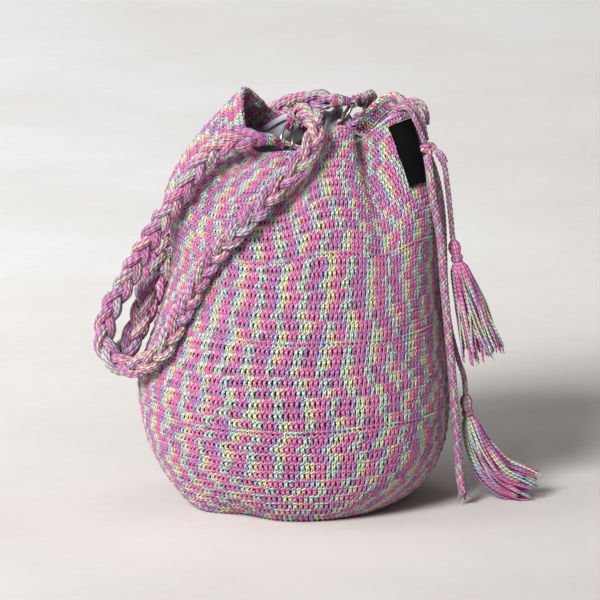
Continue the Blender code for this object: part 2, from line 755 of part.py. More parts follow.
def make_binding(name, centre, along):
    """The wrap round a tassel's neck: a short open tube."""
    turn = along.to_track_quat("Z", "Y").to_matrix()
    inner = TASSEL_NECK_RADIUS + BINDING_GAP
    outer = inner + BINDING_THICKNESS
    half = BINDING_WIDTH / 2
    data = bmesh.new()
    rows = []
    # the flat sides of the tube are kept clear of the neck
    for reach, height in ((outer, -half), (outer, half), (inner, half), (inner, -half)):
        reach = reach / math.cos(math.pi / TASSEL_SIDES)
        row = []
        for i in range(TASSEL_SIDES):
            angle = 2 * math.pi * i / TASSEL_SIDES
            place = Vector((reach * math.cos(angle), reach * math.sin(angle), height))
            row.append(data.verts.new(centre + turn @ place))
        rows.append(row)
    for row, other in zip(rows, rows[1:] + rows[:1]):
        for i in range(TASSEL_SIDES):
            j = (i + 1) % TASSEL_SIDES
            data.faces.new((row[i], row[j], other[j], other[i]))
    bmesh.ops.recalc_face_normals(data, faces=data.faces)
    mesh = bpy.data.meshes.new(name)
    data.to_mesh(mesh)
    data.free()
    return new_object(name, mesh, (0.55, 0.20, 0.42), 0.9)


def make_label():
    """A flat woven label that follows the shell a little off its surface."""
    turn = math.radians(LABEL_TURN)
    sheets = []
    for lift in (LABEL_LIFT, LABEL_LIFT + LABEL_THICKNESS):
        grid = []
        for row in range(LABEL_ROWS + 1):
            for column in range(LABEL_COLUMNS + 1):
                across = (column / LABEL_COLUMNS - 0.5) * LABEL_WIDTH
                along = (0.5 - row / LABEL_ROWS) * LABEL_HEIGHT
                right = across * math.cos(turn) - along * math.sin(turn)
                up = across * math.sin(turn) + along * math.cos(turn)
                grid.append(label_point(right, up, lift))
        sheets.append(grid)
    data = bmesh.new()
    lower, upper = [[data.verts.new(p) for p in grid] for grid in sheets]
    wide = LABEL_COLUMNS + 1
    for row in range(LABEL_ROWS):
        for column in range(LABEL_COLUMNS):
            a = row * wide + column
            corners = (a, a + 1, a + wide + 1, a + wide)
            data.faces.new([upper[i] for i in corners])
            data.faces.new([lower[i] for i in reversed(corners)])
    edge = list(range(wide)) + [row * wide + LABEL_COLUMNS for row in range(1, LABEL_ROWS + 1)]
    edge += [LABEL_ROWS * wide + column for column in reversed(range(LABEL_COLUMNS))]
    edge += [row * wide for row in reversed(range(1, LABEL_ROWS))]
    for i, j in zip(edge, edge[1:] + edge[:1]):
        data.faces.new((upper[j], upper[i], lower[i], lower[j]))
    bmesh.ops.recalc_face_normals(data, faces=data.faces)
    mesh = bpy.data.meshes.new("label")
    data.to_mesh(mesh)
    data.free()
    return new_object("label", mesh, (0.015, 0.015, 0.015), 0.6)


def shell_point(angle, level):
    return shell(np.array([angle]), level)[0]


def label_point(right, up, lift):
    """A point of the label, measured over the shell's surface from the label's middle."""
    step = 1e-3
    middle = math.radians(LABEL_ANGLE)
    rise = shell_point(middle, LABEL_LEVEL + step) - shell_point(middle, LABEL_LEVEL - step)
    level = min(LABEL_LEVEL + up * 2 * step / np.linalg.norm(rise), RIM_HEIGHT - step)
    turn = shell_point(middle + step, level) - shell_point(middle - step, level)
    angle = middle + right * 2 * step / np.linalg.norm(turn)
    return tuple(layer(np.array([angle]), level, -lift)[0])


def make_all():
    make_body()
    make_lining()
    make_hardware()
    make_cords()
    make_knot()
    make_tassel("tassel_short", TASSEL_SHORT_SPINE, (0.66, 0.45, 0.52))
    make_tassel("tassel_long", TASSEL_LONG_SPINE, (0.66, 0.45, 0.52))
    make_label()


for old in list(bpy.data.objects):
    bpy.data.objects.remove(old, do_unlink=True)
make_all()
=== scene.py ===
"""Crocheted drawstring bucket bag: stitches, braided handles, cords, tassels, rings, lining and label."""

import json
import math

import bpy
import numpy as np
from mathutils import Vector
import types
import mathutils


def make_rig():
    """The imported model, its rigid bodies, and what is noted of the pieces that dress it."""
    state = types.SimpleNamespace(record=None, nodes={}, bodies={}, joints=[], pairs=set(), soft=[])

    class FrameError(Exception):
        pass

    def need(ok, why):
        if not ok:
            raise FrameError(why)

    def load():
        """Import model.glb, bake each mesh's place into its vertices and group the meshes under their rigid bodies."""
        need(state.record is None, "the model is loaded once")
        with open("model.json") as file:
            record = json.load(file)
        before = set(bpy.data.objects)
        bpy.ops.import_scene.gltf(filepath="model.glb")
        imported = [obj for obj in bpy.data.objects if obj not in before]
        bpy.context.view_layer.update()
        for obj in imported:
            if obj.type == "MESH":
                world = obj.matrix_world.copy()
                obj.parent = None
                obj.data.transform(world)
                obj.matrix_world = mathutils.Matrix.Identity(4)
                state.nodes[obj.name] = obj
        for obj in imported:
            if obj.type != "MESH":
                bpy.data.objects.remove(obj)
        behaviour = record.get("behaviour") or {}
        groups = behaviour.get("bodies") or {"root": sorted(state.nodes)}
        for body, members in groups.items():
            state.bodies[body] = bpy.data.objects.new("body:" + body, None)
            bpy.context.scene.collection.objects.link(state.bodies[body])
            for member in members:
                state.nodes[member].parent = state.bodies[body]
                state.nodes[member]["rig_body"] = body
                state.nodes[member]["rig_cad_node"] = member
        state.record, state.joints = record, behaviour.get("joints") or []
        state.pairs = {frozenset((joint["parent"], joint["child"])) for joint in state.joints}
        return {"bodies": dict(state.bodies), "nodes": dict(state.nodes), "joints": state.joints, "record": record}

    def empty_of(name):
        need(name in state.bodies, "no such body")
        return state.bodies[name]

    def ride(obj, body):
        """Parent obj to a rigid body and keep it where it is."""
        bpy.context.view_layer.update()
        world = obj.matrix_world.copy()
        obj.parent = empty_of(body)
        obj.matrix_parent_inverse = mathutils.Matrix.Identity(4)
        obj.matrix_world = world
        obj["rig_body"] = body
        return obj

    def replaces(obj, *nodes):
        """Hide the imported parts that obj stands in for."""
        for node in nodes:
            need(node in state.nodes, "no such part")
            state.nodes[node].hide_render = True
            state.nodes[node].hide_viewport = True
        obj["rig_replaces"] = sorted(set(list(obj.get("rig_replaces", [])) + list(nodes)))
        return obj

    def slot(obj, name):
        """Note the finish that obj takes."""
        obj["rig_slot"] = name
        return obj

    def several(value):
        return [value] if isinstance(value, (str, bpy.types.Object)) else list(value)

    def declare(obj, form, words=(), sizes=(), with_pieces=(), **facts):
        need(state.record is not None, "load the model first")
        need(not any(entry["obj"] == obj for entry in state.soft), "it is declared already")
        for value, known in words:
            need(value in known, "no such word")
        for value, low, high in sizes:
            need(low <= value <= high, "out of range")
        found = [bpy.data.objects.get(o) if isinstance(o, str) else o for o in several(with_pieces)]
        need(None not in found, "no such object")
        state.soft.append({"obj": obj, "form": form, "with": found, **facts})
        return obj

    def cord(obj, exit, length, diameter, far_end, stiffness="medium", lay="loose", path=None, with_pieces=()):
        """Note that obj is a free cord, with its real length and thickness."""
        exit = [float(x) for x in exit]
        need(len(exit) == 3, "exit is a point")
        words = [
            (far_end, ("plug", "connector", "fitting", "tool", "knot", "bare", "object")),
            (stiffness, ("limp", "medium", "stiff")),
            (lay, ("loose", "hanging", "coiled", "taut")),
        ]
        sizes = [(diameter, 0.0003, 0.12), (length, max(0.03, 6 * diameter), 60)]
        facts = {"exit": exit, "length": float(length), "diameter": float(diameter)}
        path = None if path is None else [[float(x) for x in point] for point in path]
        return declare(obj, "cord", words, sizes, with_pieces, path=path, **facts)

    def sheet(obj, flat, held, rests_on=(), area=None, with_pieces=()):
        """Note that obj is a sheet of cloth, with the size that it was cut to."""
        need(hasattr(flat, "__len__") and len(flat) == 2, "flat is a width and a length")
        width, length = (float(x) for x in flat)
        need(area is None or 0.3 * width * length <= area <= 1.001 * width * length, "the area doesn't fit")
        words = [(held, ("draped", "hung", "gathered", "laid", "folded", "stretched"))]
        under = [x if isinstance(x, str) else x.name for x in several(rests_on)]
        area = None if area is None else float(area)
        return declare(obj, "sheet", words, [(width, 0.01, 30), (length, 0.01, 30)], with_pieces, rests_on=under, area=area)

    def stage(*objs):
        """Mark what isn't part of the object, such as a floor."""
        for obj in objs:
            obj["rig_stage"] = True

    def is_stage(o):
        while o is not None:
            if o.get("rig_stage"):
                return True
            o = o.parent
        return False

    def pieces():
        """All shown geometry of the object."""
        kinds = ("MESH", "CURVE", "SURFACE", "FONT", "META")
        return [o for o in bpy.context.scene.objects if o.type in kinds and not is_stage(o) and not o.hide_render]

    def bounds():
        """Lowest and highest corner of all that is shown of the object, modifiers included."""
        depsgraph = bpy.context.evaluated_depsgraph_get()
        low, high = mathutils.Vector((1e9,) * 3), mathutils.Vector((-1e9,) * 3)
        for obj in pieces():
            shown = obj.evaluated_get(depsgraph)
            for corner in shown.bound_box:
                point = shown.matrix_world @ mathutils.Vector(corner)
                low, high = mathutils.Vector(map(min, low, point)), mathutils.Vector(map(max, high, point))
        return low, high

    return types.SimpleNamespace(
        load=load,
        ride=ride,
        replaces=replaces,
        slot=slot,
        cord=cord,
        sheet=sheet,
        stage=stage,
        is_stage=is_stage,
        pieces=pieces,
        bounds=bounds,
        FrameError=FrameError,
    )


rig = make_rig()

bl_info = {
    "name": "Crocheted Bucket Bag",
    "version": (1, 0, 0),
    "blender": (4, 5, 0),
    "location": "View3D > Sidebar > Bucket Bag",
    "description": "Builds a crocheted drawstring bag with braided handles and tassels, stitch by stitch",
    "category": "Add Mesh",
}

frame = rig.load()
CAD_BOX = [list(corner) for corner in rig.bounds()]
BAG = "bag"

# ---- The bag's form, as the solids have it ----

BASE_RADIUS = 0.090
BELLY_HEIGHT = 0.126
STATION_HEIGHTS = (0.126, 0.262, 0.308, 0.361, 0.420)
HALF_WIDTHS = (0.154, 0.132, 0.1365, 0.116, 0.077)
HALF_DEPTHS = (0.151, 0.125, 0.110, 0.082, 0.055)
LEANS = (-0.007, 0.005, 0.001, 0.004, 0.014)
BASE_ROUNDING = 2.6
BASE_FLARE = 1.6
SHELL_THICKNESS = 0.004
RIDGE_HEIGHTS = (0.100, 0.187, 0.273)
BASE_DENT_HEIGHT = 0.060
BASE_DENTS = (  # direction in degrees, how far out
    (-175, 0.000), (-146, 0.011), (-126, -0.010), (-100, 0.004), (-66, 0.000), (-28, -0.007), (20, 0.000),
    (100, 0.003),
)
MOUTH_RADIUS = 0.080
MOUTH_LEAN = 0.026
RIM_HEIGHT = 0.390
PLEAT_START_HEIGHT = 0.150
PLEAT_POWER = 3.2
RIM_FOLDS = (  # direction in degrees, share of the mouth's radius, how far up
    (-173, 1.07, 0.027), (-160, 1.10, -0.004), (-144, 1.13, -0.030), (-120, 0.98, -0.029), (-100, 0.56, -0.022),
    (-85, 0.80, -0.001), (-68, 0.80, -0.001), (-52, 0.58, -0.022), (-36, 0.92, 0.004), (-17, 1.08, 0.011),
    (3, 1.08, 0.008), (24, 0.90, 0.018), (50, 0.56, -0.012), (72, 0.74, -0.008), (98, 0.72, -0.014),
    (122, 0.58, -0.010), (145, 0.86, 0.000), (165, 0.86, 0.014),
)
LINING_TOP = 0.361
# The crochet's lip under the front handle, seen from above in degrees
LIP_ANGLE = 228.0
LIP_REACH = 30.0
LIP_START = 0.330
LIP_HEIGHT = 0.0085

# ---- Rings and the yarn eyes on them ----

RING_RADIUS = 0.0145
RING_WIRE_RADIUS = 0.0016
RINGS = {  # centre, turn and lean in degrees, body
    "ring_front": ((-0.013, -0.051, 0.3765), 66.0, 0.0, "front_ring"),
    "ring_back": ((0.0475, 0.022, 0.391), 90.0, 31.0, "back_ring"),
}
EYE_CLEARANCE = 0.0005
WHIPPING_RADIUS = 0.0076
WHIPPING_NECK_RADIUS = 0.0043
WHIPPING_STRAIGHT = 0.005
TAB_RADIUS = 0.0038
TAB_NECK_RADIUS = 0.0030
TAB_LEVEL = 0.3810
TAB_WIRE_ANGLE = 270.0
TAB_DROP = 0.0075
TAB_BEND = 0.25
RING_STEPS = 96
WIRE_SIDES = 16
WHIPPING_OVERLAP = 0.004
WOUND_THICK = 0.0011
EYE_LOOP_SHIFTS = (-0.0032, -0.0011, 0.0011, 0.0032)

# ---- Cords, as the solids have them ----


def in_metres(per_metre, *points):
    """Points in metres, from whole numbers of which so many go into a metre."""
    return tuple(tuple(part / per_metre for part in point) for point in points)


HANDLE_RADIUS = 0.011
HANDLE_SPACING = 0.027
DRAWSTRING_RADIUS = 0.003
TIE_CORD_RADIUS = 0.0045
TIE_STUB_RADIUS = 0.0031
RIM_TAIL_RADIUS = 0.004
RIM_TAIL_TAPER = 0.55
CORD_SPACING = 0.0016
FRAY_YARNS = 14
PLAIT_SPACING = 0.0031
PLAIT_END_LENGTH = 0.02
PLAIT_DEPTH = 0.0036
STRAND_YARNS = 8
STRAND_LAY = 0.16
HANDLE_FRONT_ROUTE = in_metres(
    1_000,
    (-38, -78, 383), (-55, -84, 385), (-75, -78, 378), (-95, -68, 360), (-110, -66, 339), (-122, -62, 319),
    (-137, -53, 297), (-150, -48, 274), (-162, -43, 253), (-175, -42, 228), (-187, -42, 207), (-194, -43, 187),
    (-195, -45, 168), (-188, -50, 155), (-172, -60, 148), (-151, -78, 158), (-135, -89, 175), (-120, -90, 204),
    (-106, -95, 231), (-95, -100, 255), (-80, -108, 277), (-60, -114, 299), (-38, -112, 322), (-20, -107, 343),
    (-2, -103, 362), (10, -100, 378), (15, -92, 393), (13, -78, 403), (5, -63, 408), (-3, -52, 404),
)
HANDLE_BACK_ROUTE = in_metres(
    1_000,
    (38, 18, 403), (21, 26, 402), (3, 41, 397), (-13, 61, 389), (-36, 83, 370), (-66, 96, 346), (-96, 92, 320),
    (-120, 66, 294), (-134, 40, 270), (-145, 16, 243), (-152, 1, 224), (-156, -10, 206), (-162, -16, 184),
    (-172, -22, 163), (-181, -18, 148), (-180, 0, 140), (-175, 20, 145), (-167, 38, 158), (-158, 54, 174),
    (-146, 66, 196), (-136, 72, 222), (-127, 80, 246), (-108, 100, 270), (-75, 118, 294), (-30, 124, 314),
    (12, 116, 334), (48, 100, 355), (69, 80, 377), (72, 66, 391), (68, 51, 399), (60, 38, 400),
)
DRAWSTRING_ROUTE = in_metres(
    10_000,
    (1215, -415, 3760), (1160, -440, 3920), (1060, -410, 4080), (950, -340, 4040), (880, -280, 3880),
    (800, -280, 3700), (670, -270, 3620), (500, -240, 3560), (320, -300, 3560), (150, -290, 3540),
    (-80, -420, 3460), (-350, -420, 3420), (-500, -240, 3500), (-520, -40, 3660), (-400, 140, 3660),
    (-200, 260, 3600), (20, 300, 3520), (220, 340, 3500), (400, 220, 3500), (640, 160, 3600), (830, 100, 3760),
    (930, 0, 3900), (1000, -120, 4040), (1090, -220, 4090), (1185, -270, 3990), (1240, -290, 3800),
)
SHORT_END_ROUTE = in_metres(
    10_000,
    (1375, -325, 3605), (1430, -315, 3480), (1460, -305, 3300), (1485, -300, 3100), (1505, -300, 2910),
    (1523, -300, 2718),
)
LONG_END_ROUTE = in_metres(
    10_000,
    (1305, -350, 3530), (1355, -350, 3390), (1390, -340, 3230), (1425, -310, 2970), (1440, -280, 2610),
    (1450, -280, 2300), (1490, -260, 1860), (1580, -180, 1470), (1640, -150, 1280), (1656, -140, 1108),
)
TIE_CORD_ROUTE = in_metres(
    10_000,
    (1265, -460, 3570), (1290, -515, 3430), (1330, -520, 3140), (1395, -470, 2780), (1430, -430, 2320),
    (1470, -400, 1880), (1520, -380, 1330), (1550, -360, 900), (1580, -340, 540), (1600, -320, 300),
    (1630, -300, 120),
)
TIE_STUB_ROUTE = in_metres(
    10_000,
    (1360, -410, 3635), (1410, -440, 3600), (1445, -450, 3530),
)
RIM_TAIL_ROUTE = in_metres(
    10_000,
    (1010, 40, 3940), (1050, 40, 4020), (1120, 30, 4055), (1200, 0, 4040), (1255, -30, 3960), (1275, -40, 3830),
)
KNOT_RADIUS = 0.0085
KNOT_CENTRE = np.array((0.1276, -0.0353, 0.3648))
KNOT_GAP = 0.0007
KNOT_TILT = (0.55, -0.75, 0.35)
KNOT_CORD_RADIUS = 0.0032
TASSEL_SHORT_SPINE = in_metres(
    10_000,
    (1525, -300, 2710), (1550, -300, 2590), (1580, -300, 2460), (1680, -280, 2100), (1820, -260, 1570),
)
TASSEL_LONG_SPINE = in_metres(
    10_000,
    (1655, -140, 1100), (1668, -140, 980), (1700, -140, 820), (1800, -100, 540), (1990, -50, 270),
    (2240, 10, 135),
)
TASSEL_HEAD_RADIUS = 0.0068
TASSEL_HEAD_LENGTH = 0.016
TASSEL_NECK_RADIUS = 0.0044
TASSEL_SKIRT_HALF_WIDTH = 0.0185
TASSEL_SKIRT_HALF_HEIGHT = 0.0170
TASSEL_TIP_HALF_WIDTH = 0.0220
TASSEL_TIP_HALF_HEIGHT = 0.0220
TASSEL_THREADS = 130
TASSEL_THREAD_RADIUS = 0.00115
TASSEL_SWAY = 0.0042
GOLDEN_ANGLE = 2.39996
BINDING_WIDTH = 0.0060
BINDING_TURNS = 4

# ---- Crochet: each yarn of a stitch as width, height and lift in mm, and when in the stitch it comes ----

DOUBLE_CROCHET = (
    (((-0.30, -0.04, 0.2), (-0.25, 0.20, 1.1), (-0.05, 0.50, 1.8), (0.20, 0.76, 1.3), (0.26, 0.98, 0.4)), 0.0),
    (((0.30, -0.04, 0.2), (0.24, 0.26, 1.1), (-0.10, 0.66, 1.0), (-0.27, 0.98, 0.4)), 0.3),
    (((-0.30, 0.60, 0.0), (0.0, 0.46, 2.2), (0.29, 0.32, 0.1)), 0.5),
    (((-0.60, 0.85, 0.1), (-0.16, 1.02, 1.5), (0.26, 1.06, 1.5), (0.60, 0.94, 0.2)), 0.75),
)
SINGLE_CROCHET = (
    (((-0.34, -0.05, 0.6), (-0.16, 0.40, 1.8), (0.02, 0.95, 1.0)), 0.0),
    (((0.34, -0.05, 0.6), (0.18, 0.40, 1.7), (0.02, 0.95, 1.0)), 0.3),
    (((-0.60, 0.85, 0.9), (-0.15, 1.08, 2.2), (0.25, 1.08, 2.2), (0.62, 0.88, 1.0)), 0.6),
)
SINGLE_YARN_USE = 0.55
ROUND_SHIFTS = (0.0, 0.0, 0.0, 0.46, 0.2, -0.2, 0.1)
BASE_ROUNDS_REACH = 0.084
LAST_ROUND_HEIGHT = 0.004
FOLLOW_START = 0.19
CROCHET_BANDS = (
    ("crochet_base", -1.0, 0.0),
    ("crochet_foot", 0.0, 0.095),
    ("crochet_belly", 0.095, 0.182),
    ("crochet_waist", 0.182, 0.268),
    ("crochet_shoulder", 0.268, 0.335),
    ("crochet_mouth", 0.335, 0.5),
)
RIM_EDGE_RADIUS = 0.0027
BACKING_DEPTH = 0.0022
BACKING_BASE_HEIGHT = 0.0030
BACKING_INSIDE_END = 0.330
YARN_REPEAT = (
    (0.00, "rose"), (0.21, "pink"), (0.25, "coral"), (0.29, "yellow"), (0.36, "lime"), (0.39, "lime"),
    (0.43, "sky"), (0.47, "lavender"), (0.50, "violet"), (0.58, "violet"), (0.61, "rose"), (0.70, "pink"),
    (0.73, "plum"), (0.78, "plum"), (0.81, "sky"), (0.84, "mint"), (0.91, "lime"), (0.94, "sky"),
    (0.97, "lavender"), (1.00, "rose"),
)

# ---- Lining: its folds hang inwards at the back left and puff out of the mouth at the back ----

LINING_COLUMNS = 156
LINING_THICKNESS = 0.0006
LINING_OFFSET = -(SHELL_THICKNESS + 0.0012)
LINING_BASE_HEIGHT = 0.0056
BULGE_LEVEL = 0.338
BULGE_RISE = 0.040
BULGE_ANGLE = 145
BULGE_REACH = 32
BULGE_DEPTH = 0.024
PUFF_LEVELS = 0.029
PUFF_RISE = 0.0150
HEM_WIDTH = 0.006

# ---- Label ----

LABEL_WIDTH = 0.026
LABEL_HEIGHT = 0.064
LABEL_THICKNESS = 0.0008
LABEL_ANGLE = -29.0
LABEL_LEVEL = 0.355
LABEL_TURN = -2.0
LABEL_LIFT = 0.0040
LABEL_GRID = (27, 65)

# ---- Stage: metres across the picture, the camera's height angle and what it looks at, lamps and floor ----

FRAME_WIDTH = 0.600
CAMERA_ELEVATION = 12.0
CAMERA_DISTANCE = 12.0
CAMERA_REACH = 50
CAMERA_TARGET = (0.0, 0.0, 0.2035)
LAMPS = (  # name, place, target, power, size
    ("key", (-1.25, -2.20, 1.80), (0.05, 0.1, 0.15), 4.4, None),
    ("side", (-2.30, -0.50, 1.20), (0.0, 0.1, 0.15), 16, 1.3),
    ("top", (-0.2, 0.2, 2.3), (0.0, 0.1, 0.2), 6, 1.0),
)
SUN_SPREAD = 20.0
WORLD_COLOUR = (1.0, 0.99, 0.985, 1.0)
WORLD_STRENGTH = 0.15
FLOOR_REACH = 9.0
FLOOR_STEPS = 9


# ---- Smooth curves and the bag's surface ----


def unit(vectors):
    return vectors / np.maximum(np.linalg.norm(vectors, axis=-1, keepdims=True), 1e-12)


def eased(share):
    """A share from 0 to 1 that starts and ends without a jolt."""
    return share * share * (3 - 2 * share)


def near(value, middle, reach):
    """1 at the middle, falling evenly to 0 at the reach on either side."""
    return np.clip(1 - np.abs(value - middle) / reach, 0, 1)


def walked_along(line):
    """How far along the line each of its points is."""
    return np.concatenate([[0], np.cumsum(np.linalg.norm(np.diff(line, axis=0), axis=1))])


def read_at(spots, walked, line):
    """The line's points where a walk along it has come to the spots."""
    return np.stack([np.interp(spots, walked, line[:, axis]) for axis in range(3)], axis=1)


def turned(spin, side, across):
    """Directions at an angle from side towards across."""
    return np.cos(spin)[:, None] * side + np.sin(spin)[:, None] * across


def line_length(line):
    return float(np.linalg.norm(np.diff(line, axis=0), axis=1).sum())


def hermite(knots, values, at):
    """A smooth curve through the knots, with each slope taken from its neighbours, read at some places."""
    knots, values, at = np.asarray(knots), np.asarray(values), np.asarray(at, dtype=float)
    slopes = np.gradient(values, knots, axis=0)
    span = np.clip(np.searchsorted(knots, at, side="right") - 1, 0, len(knots) - 2)
    width = knots[span + 1] - knots[span]
    part = np.clip((at - knots[span]) / width, 0, 1)
    rising = eased(part)
    start, end = part * (1 - part) ** 2, part * part * (part - 1)
    between = values[span] * (1 - rising) + values[span + 1] * rising
    return between + width * (slopes[span] * start + slopes[span + 1] * end)


def round_hermite(table, column, at_degrees):
    """The same smooth curve for a table whose first column is a direction, closed on itself."""
    rows = sorted(table)
    rows = [(r[0] - 360, *r[1:]) for r in rows] + rows + [(r[0] + 360, *r[1:]) for r in rows]
    wrapped = (np.asarray(at_degrees) + 180) % 360 - 180
    return hermite([r[0] for r in rows], [r[column] for r in rows], wrapped)


def oval(angles, heights):
    """Points of the wall before it is gathered."""
    rise = np.clip(heights / BELLY_HEIGHT, 0, 1)
    bulge = (1 - (1 - rise) ** BASE_ROUNDING) ** (1 / BASE_FLARE)
    low = heights < BELLY_HEIGHT
    wide, deep = (
        np.where(low, BASE_RADIUS + (half[0] - BASE_RADIUS) * bulge, hermite(STATION_HEIGHTS, half, heights))
        for half in (HALF_WIDTHS, HALF_DEPTHS)
    )
    lean = np.where(low, LEANS[0] * rise, hermite(STATION_HEIGHTS, LEANS, heights))
    fade = np.clip(1 - heights / BASE_DENT_HEIGHT, 0, 1) ** 2
    dent = fade * round_hermite(BASE_DENTS, 1, np.degrees(angles))
    return np.stack([lean + (wide + dent) * np.cos(angles), (deep + dent) * np.sin(angles), heights], axis=-1)


def wall(angles, levels):
    """Points of the bag's outside. Below level 0 the surface runs inwards over the flat base."""
    angles, levels = np.broadcast_arrays(np.asarray(angles, float), np.asarray(levels, float))
    degrees = np.degrees(angles)
    reach = MOUTH_RADIUS * round_hermite(RIM_FOLDS, 1, degrees)
    height = RIM_HEIGHT + round_hermite(RIM_FOLDS, 2, degrees)
    edge = np.stack([MOUTH_LEAN + reach * np.cos(angles), reach * np.sin(angles), height], axis=-1)
    up = np.clip((levels - PLEAT_START_HEIGHT) / (RIM_HEIGHT - PLEAT_START_HEIGHT), 0, None)
    heights = np.where(up > 0, PLEAT_START_HEIGHT + up * (height - PLEAT_START_HEIGHT), levels)
    standing = oval(angles, np.maximum(heights, 0))
    standing = standing + (up**PLEAT_POWER)[..., None] * (edge - oval(angles, height))
    shrink = np.clip(1 + levels / BASE_RADIUS, 0, 1)
    flat = standing * np.stack([shrink, shrink, np.zeros_like(shrink)], axis=-1)
    return np.where((levels < 0)[..., None], flat, standing)


def wall_normals(angles, levels):
    """Directions straight out of the wall, from points a short step to each side."""
    step = 1.5e-3
    turn = wall(angles + step, levels) - wall(angles - step, levels)
    rise = wall(angles, levels + step) - wall(angles, levels - step)
    return unit(np.cross(turn, rise))


def off_wall(angles, levels, offsets):
    """Points a distance outside the wall, with the crochet's lip near the mouth."""
    spots = wall(angles, levels) + np.asarray(offsets)[..., None] * wall_normals(angles, levels)
    lip = near(np.degrees(angles) % 360, LIP_ANGLE, LIP_REACH)
    high = np.clip((levels - LIP_START) / (RIM_HEIGHT - LIP_START), 0, 1)
    spots[..., 2] += LIP_HEIGHT * lip * lip * (3 - 2 * lip) * high * high
    return spots


def wall_round(turns, level, offset):
    """A closed line round the bag at one level and a distance outside the wall."""
    return off_wall(turns, np.full_like(turns, level), np.full_like(turns, offset))


def route_line(route, spacing):
    """Evenly spaced points of a smooth curve through a route's points."""
    route = np.array(route)
    along = walked_along(route)
    fine = np.linspace(0, along[-1], 2000)
    line = np.stack([hermite(along, route[:, axis], fine) for axis in range(3)], axis=1)
    walked = walked_along(line)
    return read_at(np.linspace(0, walked[-1], max(4, round(walked[-1] / spacing)) + 1), walked, line)


def from_knot(route):
    """The route, begun just outside the knot."""
    towards = unit(np.array(route[0]) - KNOT_CENTRE)
    return (tuple(KNOT_CENTRE + towards * (KNOT_RADIUS + KNOT_GAP)), *route[1:])


# ---- Yarn as tubes ----


class Yarn:
    """Tubes gathered into one mesh: points, four-cornered faces and, at each corner, where the yarn is.

    The corner values are the yarn's place in its colour repeat, its twist and a number of its own.
    """

    def __init__(self):
        self.points, self.faces, self.values, self.count = [], [], [], 0

    def add(self, paths, radius, phase, sides=5, normals=None, spread=None, own=0.0, pitch=0.006):
        """Tubes along one path or several; normals with a spread in degrees give open half tubes."""
        paths = np.asarray(paths, float)
        paths = paths[None] if paths.ndim == 2 else paths
        many, length = paths.shape[:2]
        along = unit(np.gradient(paths, axis=1))
        closed = normals is None
        if closed:
            side = carried(along)
            turns = np.linspace(0, 2 * math.pi, sides + 1)
            rim = turns[:-1]
        else:
            side = unit(normals - (normals * along).sum(-1, keepdims=True) * along)
            rim = turns = np.radians(np.linspace(-spread, spread, sides + 1))
        across = np.cross(along, side)
        radius = np.broadcast_to(np.asarray(radius, float), (many, length))
        ring = side[:, :, None] * np.cos(rim)[:, None] + across[:, :, None] * np.sin(rim)[:, None]
        points = paths[:, :, None] + radius[:, :, None, None] * ring
        index = np.arange(many * length * len(rim)).reshape(many, length, len(rim))
        here, after = (index, np.roll(index, -1, axis=2)) if closed else (index[:, :, :-1], index[:, :, 1:])
        faces = np.stack([here[:, :-1], here[:, 1:], after[:, 1:], after[:, :-1]], axis=-1)
        walked = np.linalg.norm(np.diff(paths, axis=1), axis=2)
        twist = np.concatenate([np.zeros((many, 1)), np.cumsum(walked, axis=1)], axis=1) / pitch
        phase = np.broadcast_to(np.asarray(phase, float), (many, length))
        own = np.broadcast_to(np.asarray(own, float), (many,))
        columns = np.arange(faces.shape[2])
        plies = turns / (2 * math.pi) * 3
        values = np.empty((*faces.shape, 3))
        for corner, (row, column) in enumerate(((0, 0), (1, 0), (1, 1), (0, 1))):
            rows = slice(row, length - 1 + row)
            values[..., corner, 0] = phase[:, rows, None]
            values[..., corner, 1] = twist[:, rows, None] + plies[columns + column]
            values[..., corner, 2] = own[:, None, None]
        self.points.append(points.reshape(-1, 3))
        self.faces.append(faces.reshape(-1, 4) + self.count)
        self.values.append(values.reshape(-1, 3))
        self.count += len(self.points[-1])

    def worn(self, name, material, *nodes, slot):
        """The mesh of all tubes so far, riding on the bag."""
        points, faces, values = (np.concatenate(parts) for parts in (self.points, self.faces, self.values))
        return worn(made_mesh(name, points, faces, material, values), BAG, *nodes, slot=slot)


def carried(along):
    """A direction across each path that is carried along it without turning."""
    side = np.empty_like(along)
    start = np.array((0.31, 0.52, 0.80))
    start = start - (along[:, 0] * start).sum(-1, keepdims=True) * along[:, 0]
    side[:, 0] = unit(start)
    for i in range(1, along.shape[1]):
        last = side[:, i - 1]
        side[:, i] = unit(last - (last * along[:, i]).sum(-1, keepdims=True) * along[:, i])
    return side


def frame_of(line):
    """The line's direction at each point, and two directions across it."""
    along = unit(np.gradient(line, axis=0))
    side = carried(along[None])[0]
    return along, side, np.cross(along, side)


def made_mesh(name, points, faces, material, values=None):
    """A smooth mesh of four-cornered faces, with values at the corners for its material."""
    mesh = bpy.data.meshes.new(name)
    mesh.vertices.add(len(points))
    mesh.vertices.foreach_set("co", np.ascontiguousarray(points, np.float32).ravel())
    mesh.loops.add(faces.size)
    mesh.loops.foreach_set("vertex_index", np.ascontiguousarray(faces, np.int32).ravel())
    mesh.polygons.add(len(faces))
    mesh.polygons.foreach_set("loop_start", np.arange(0, faces.size, faces.shape[1], dtype=np.int32))
    mesh.update(calc_edges=True)
    if values is not None:
        kept = mesh.attributes.new("yarn", "FLOAT_VECTOR", "CORNER")
        kept.data.foreach_set("vector", np.ascontiguousarray(values, np.float32).ravel())
    mesh.shade_smooth()
    mesh.materials.append(material)
    piece = bpy.data.objects.new(name, mesh)
    bpy.context.scene.collection.objects.link(piece)
    return piece


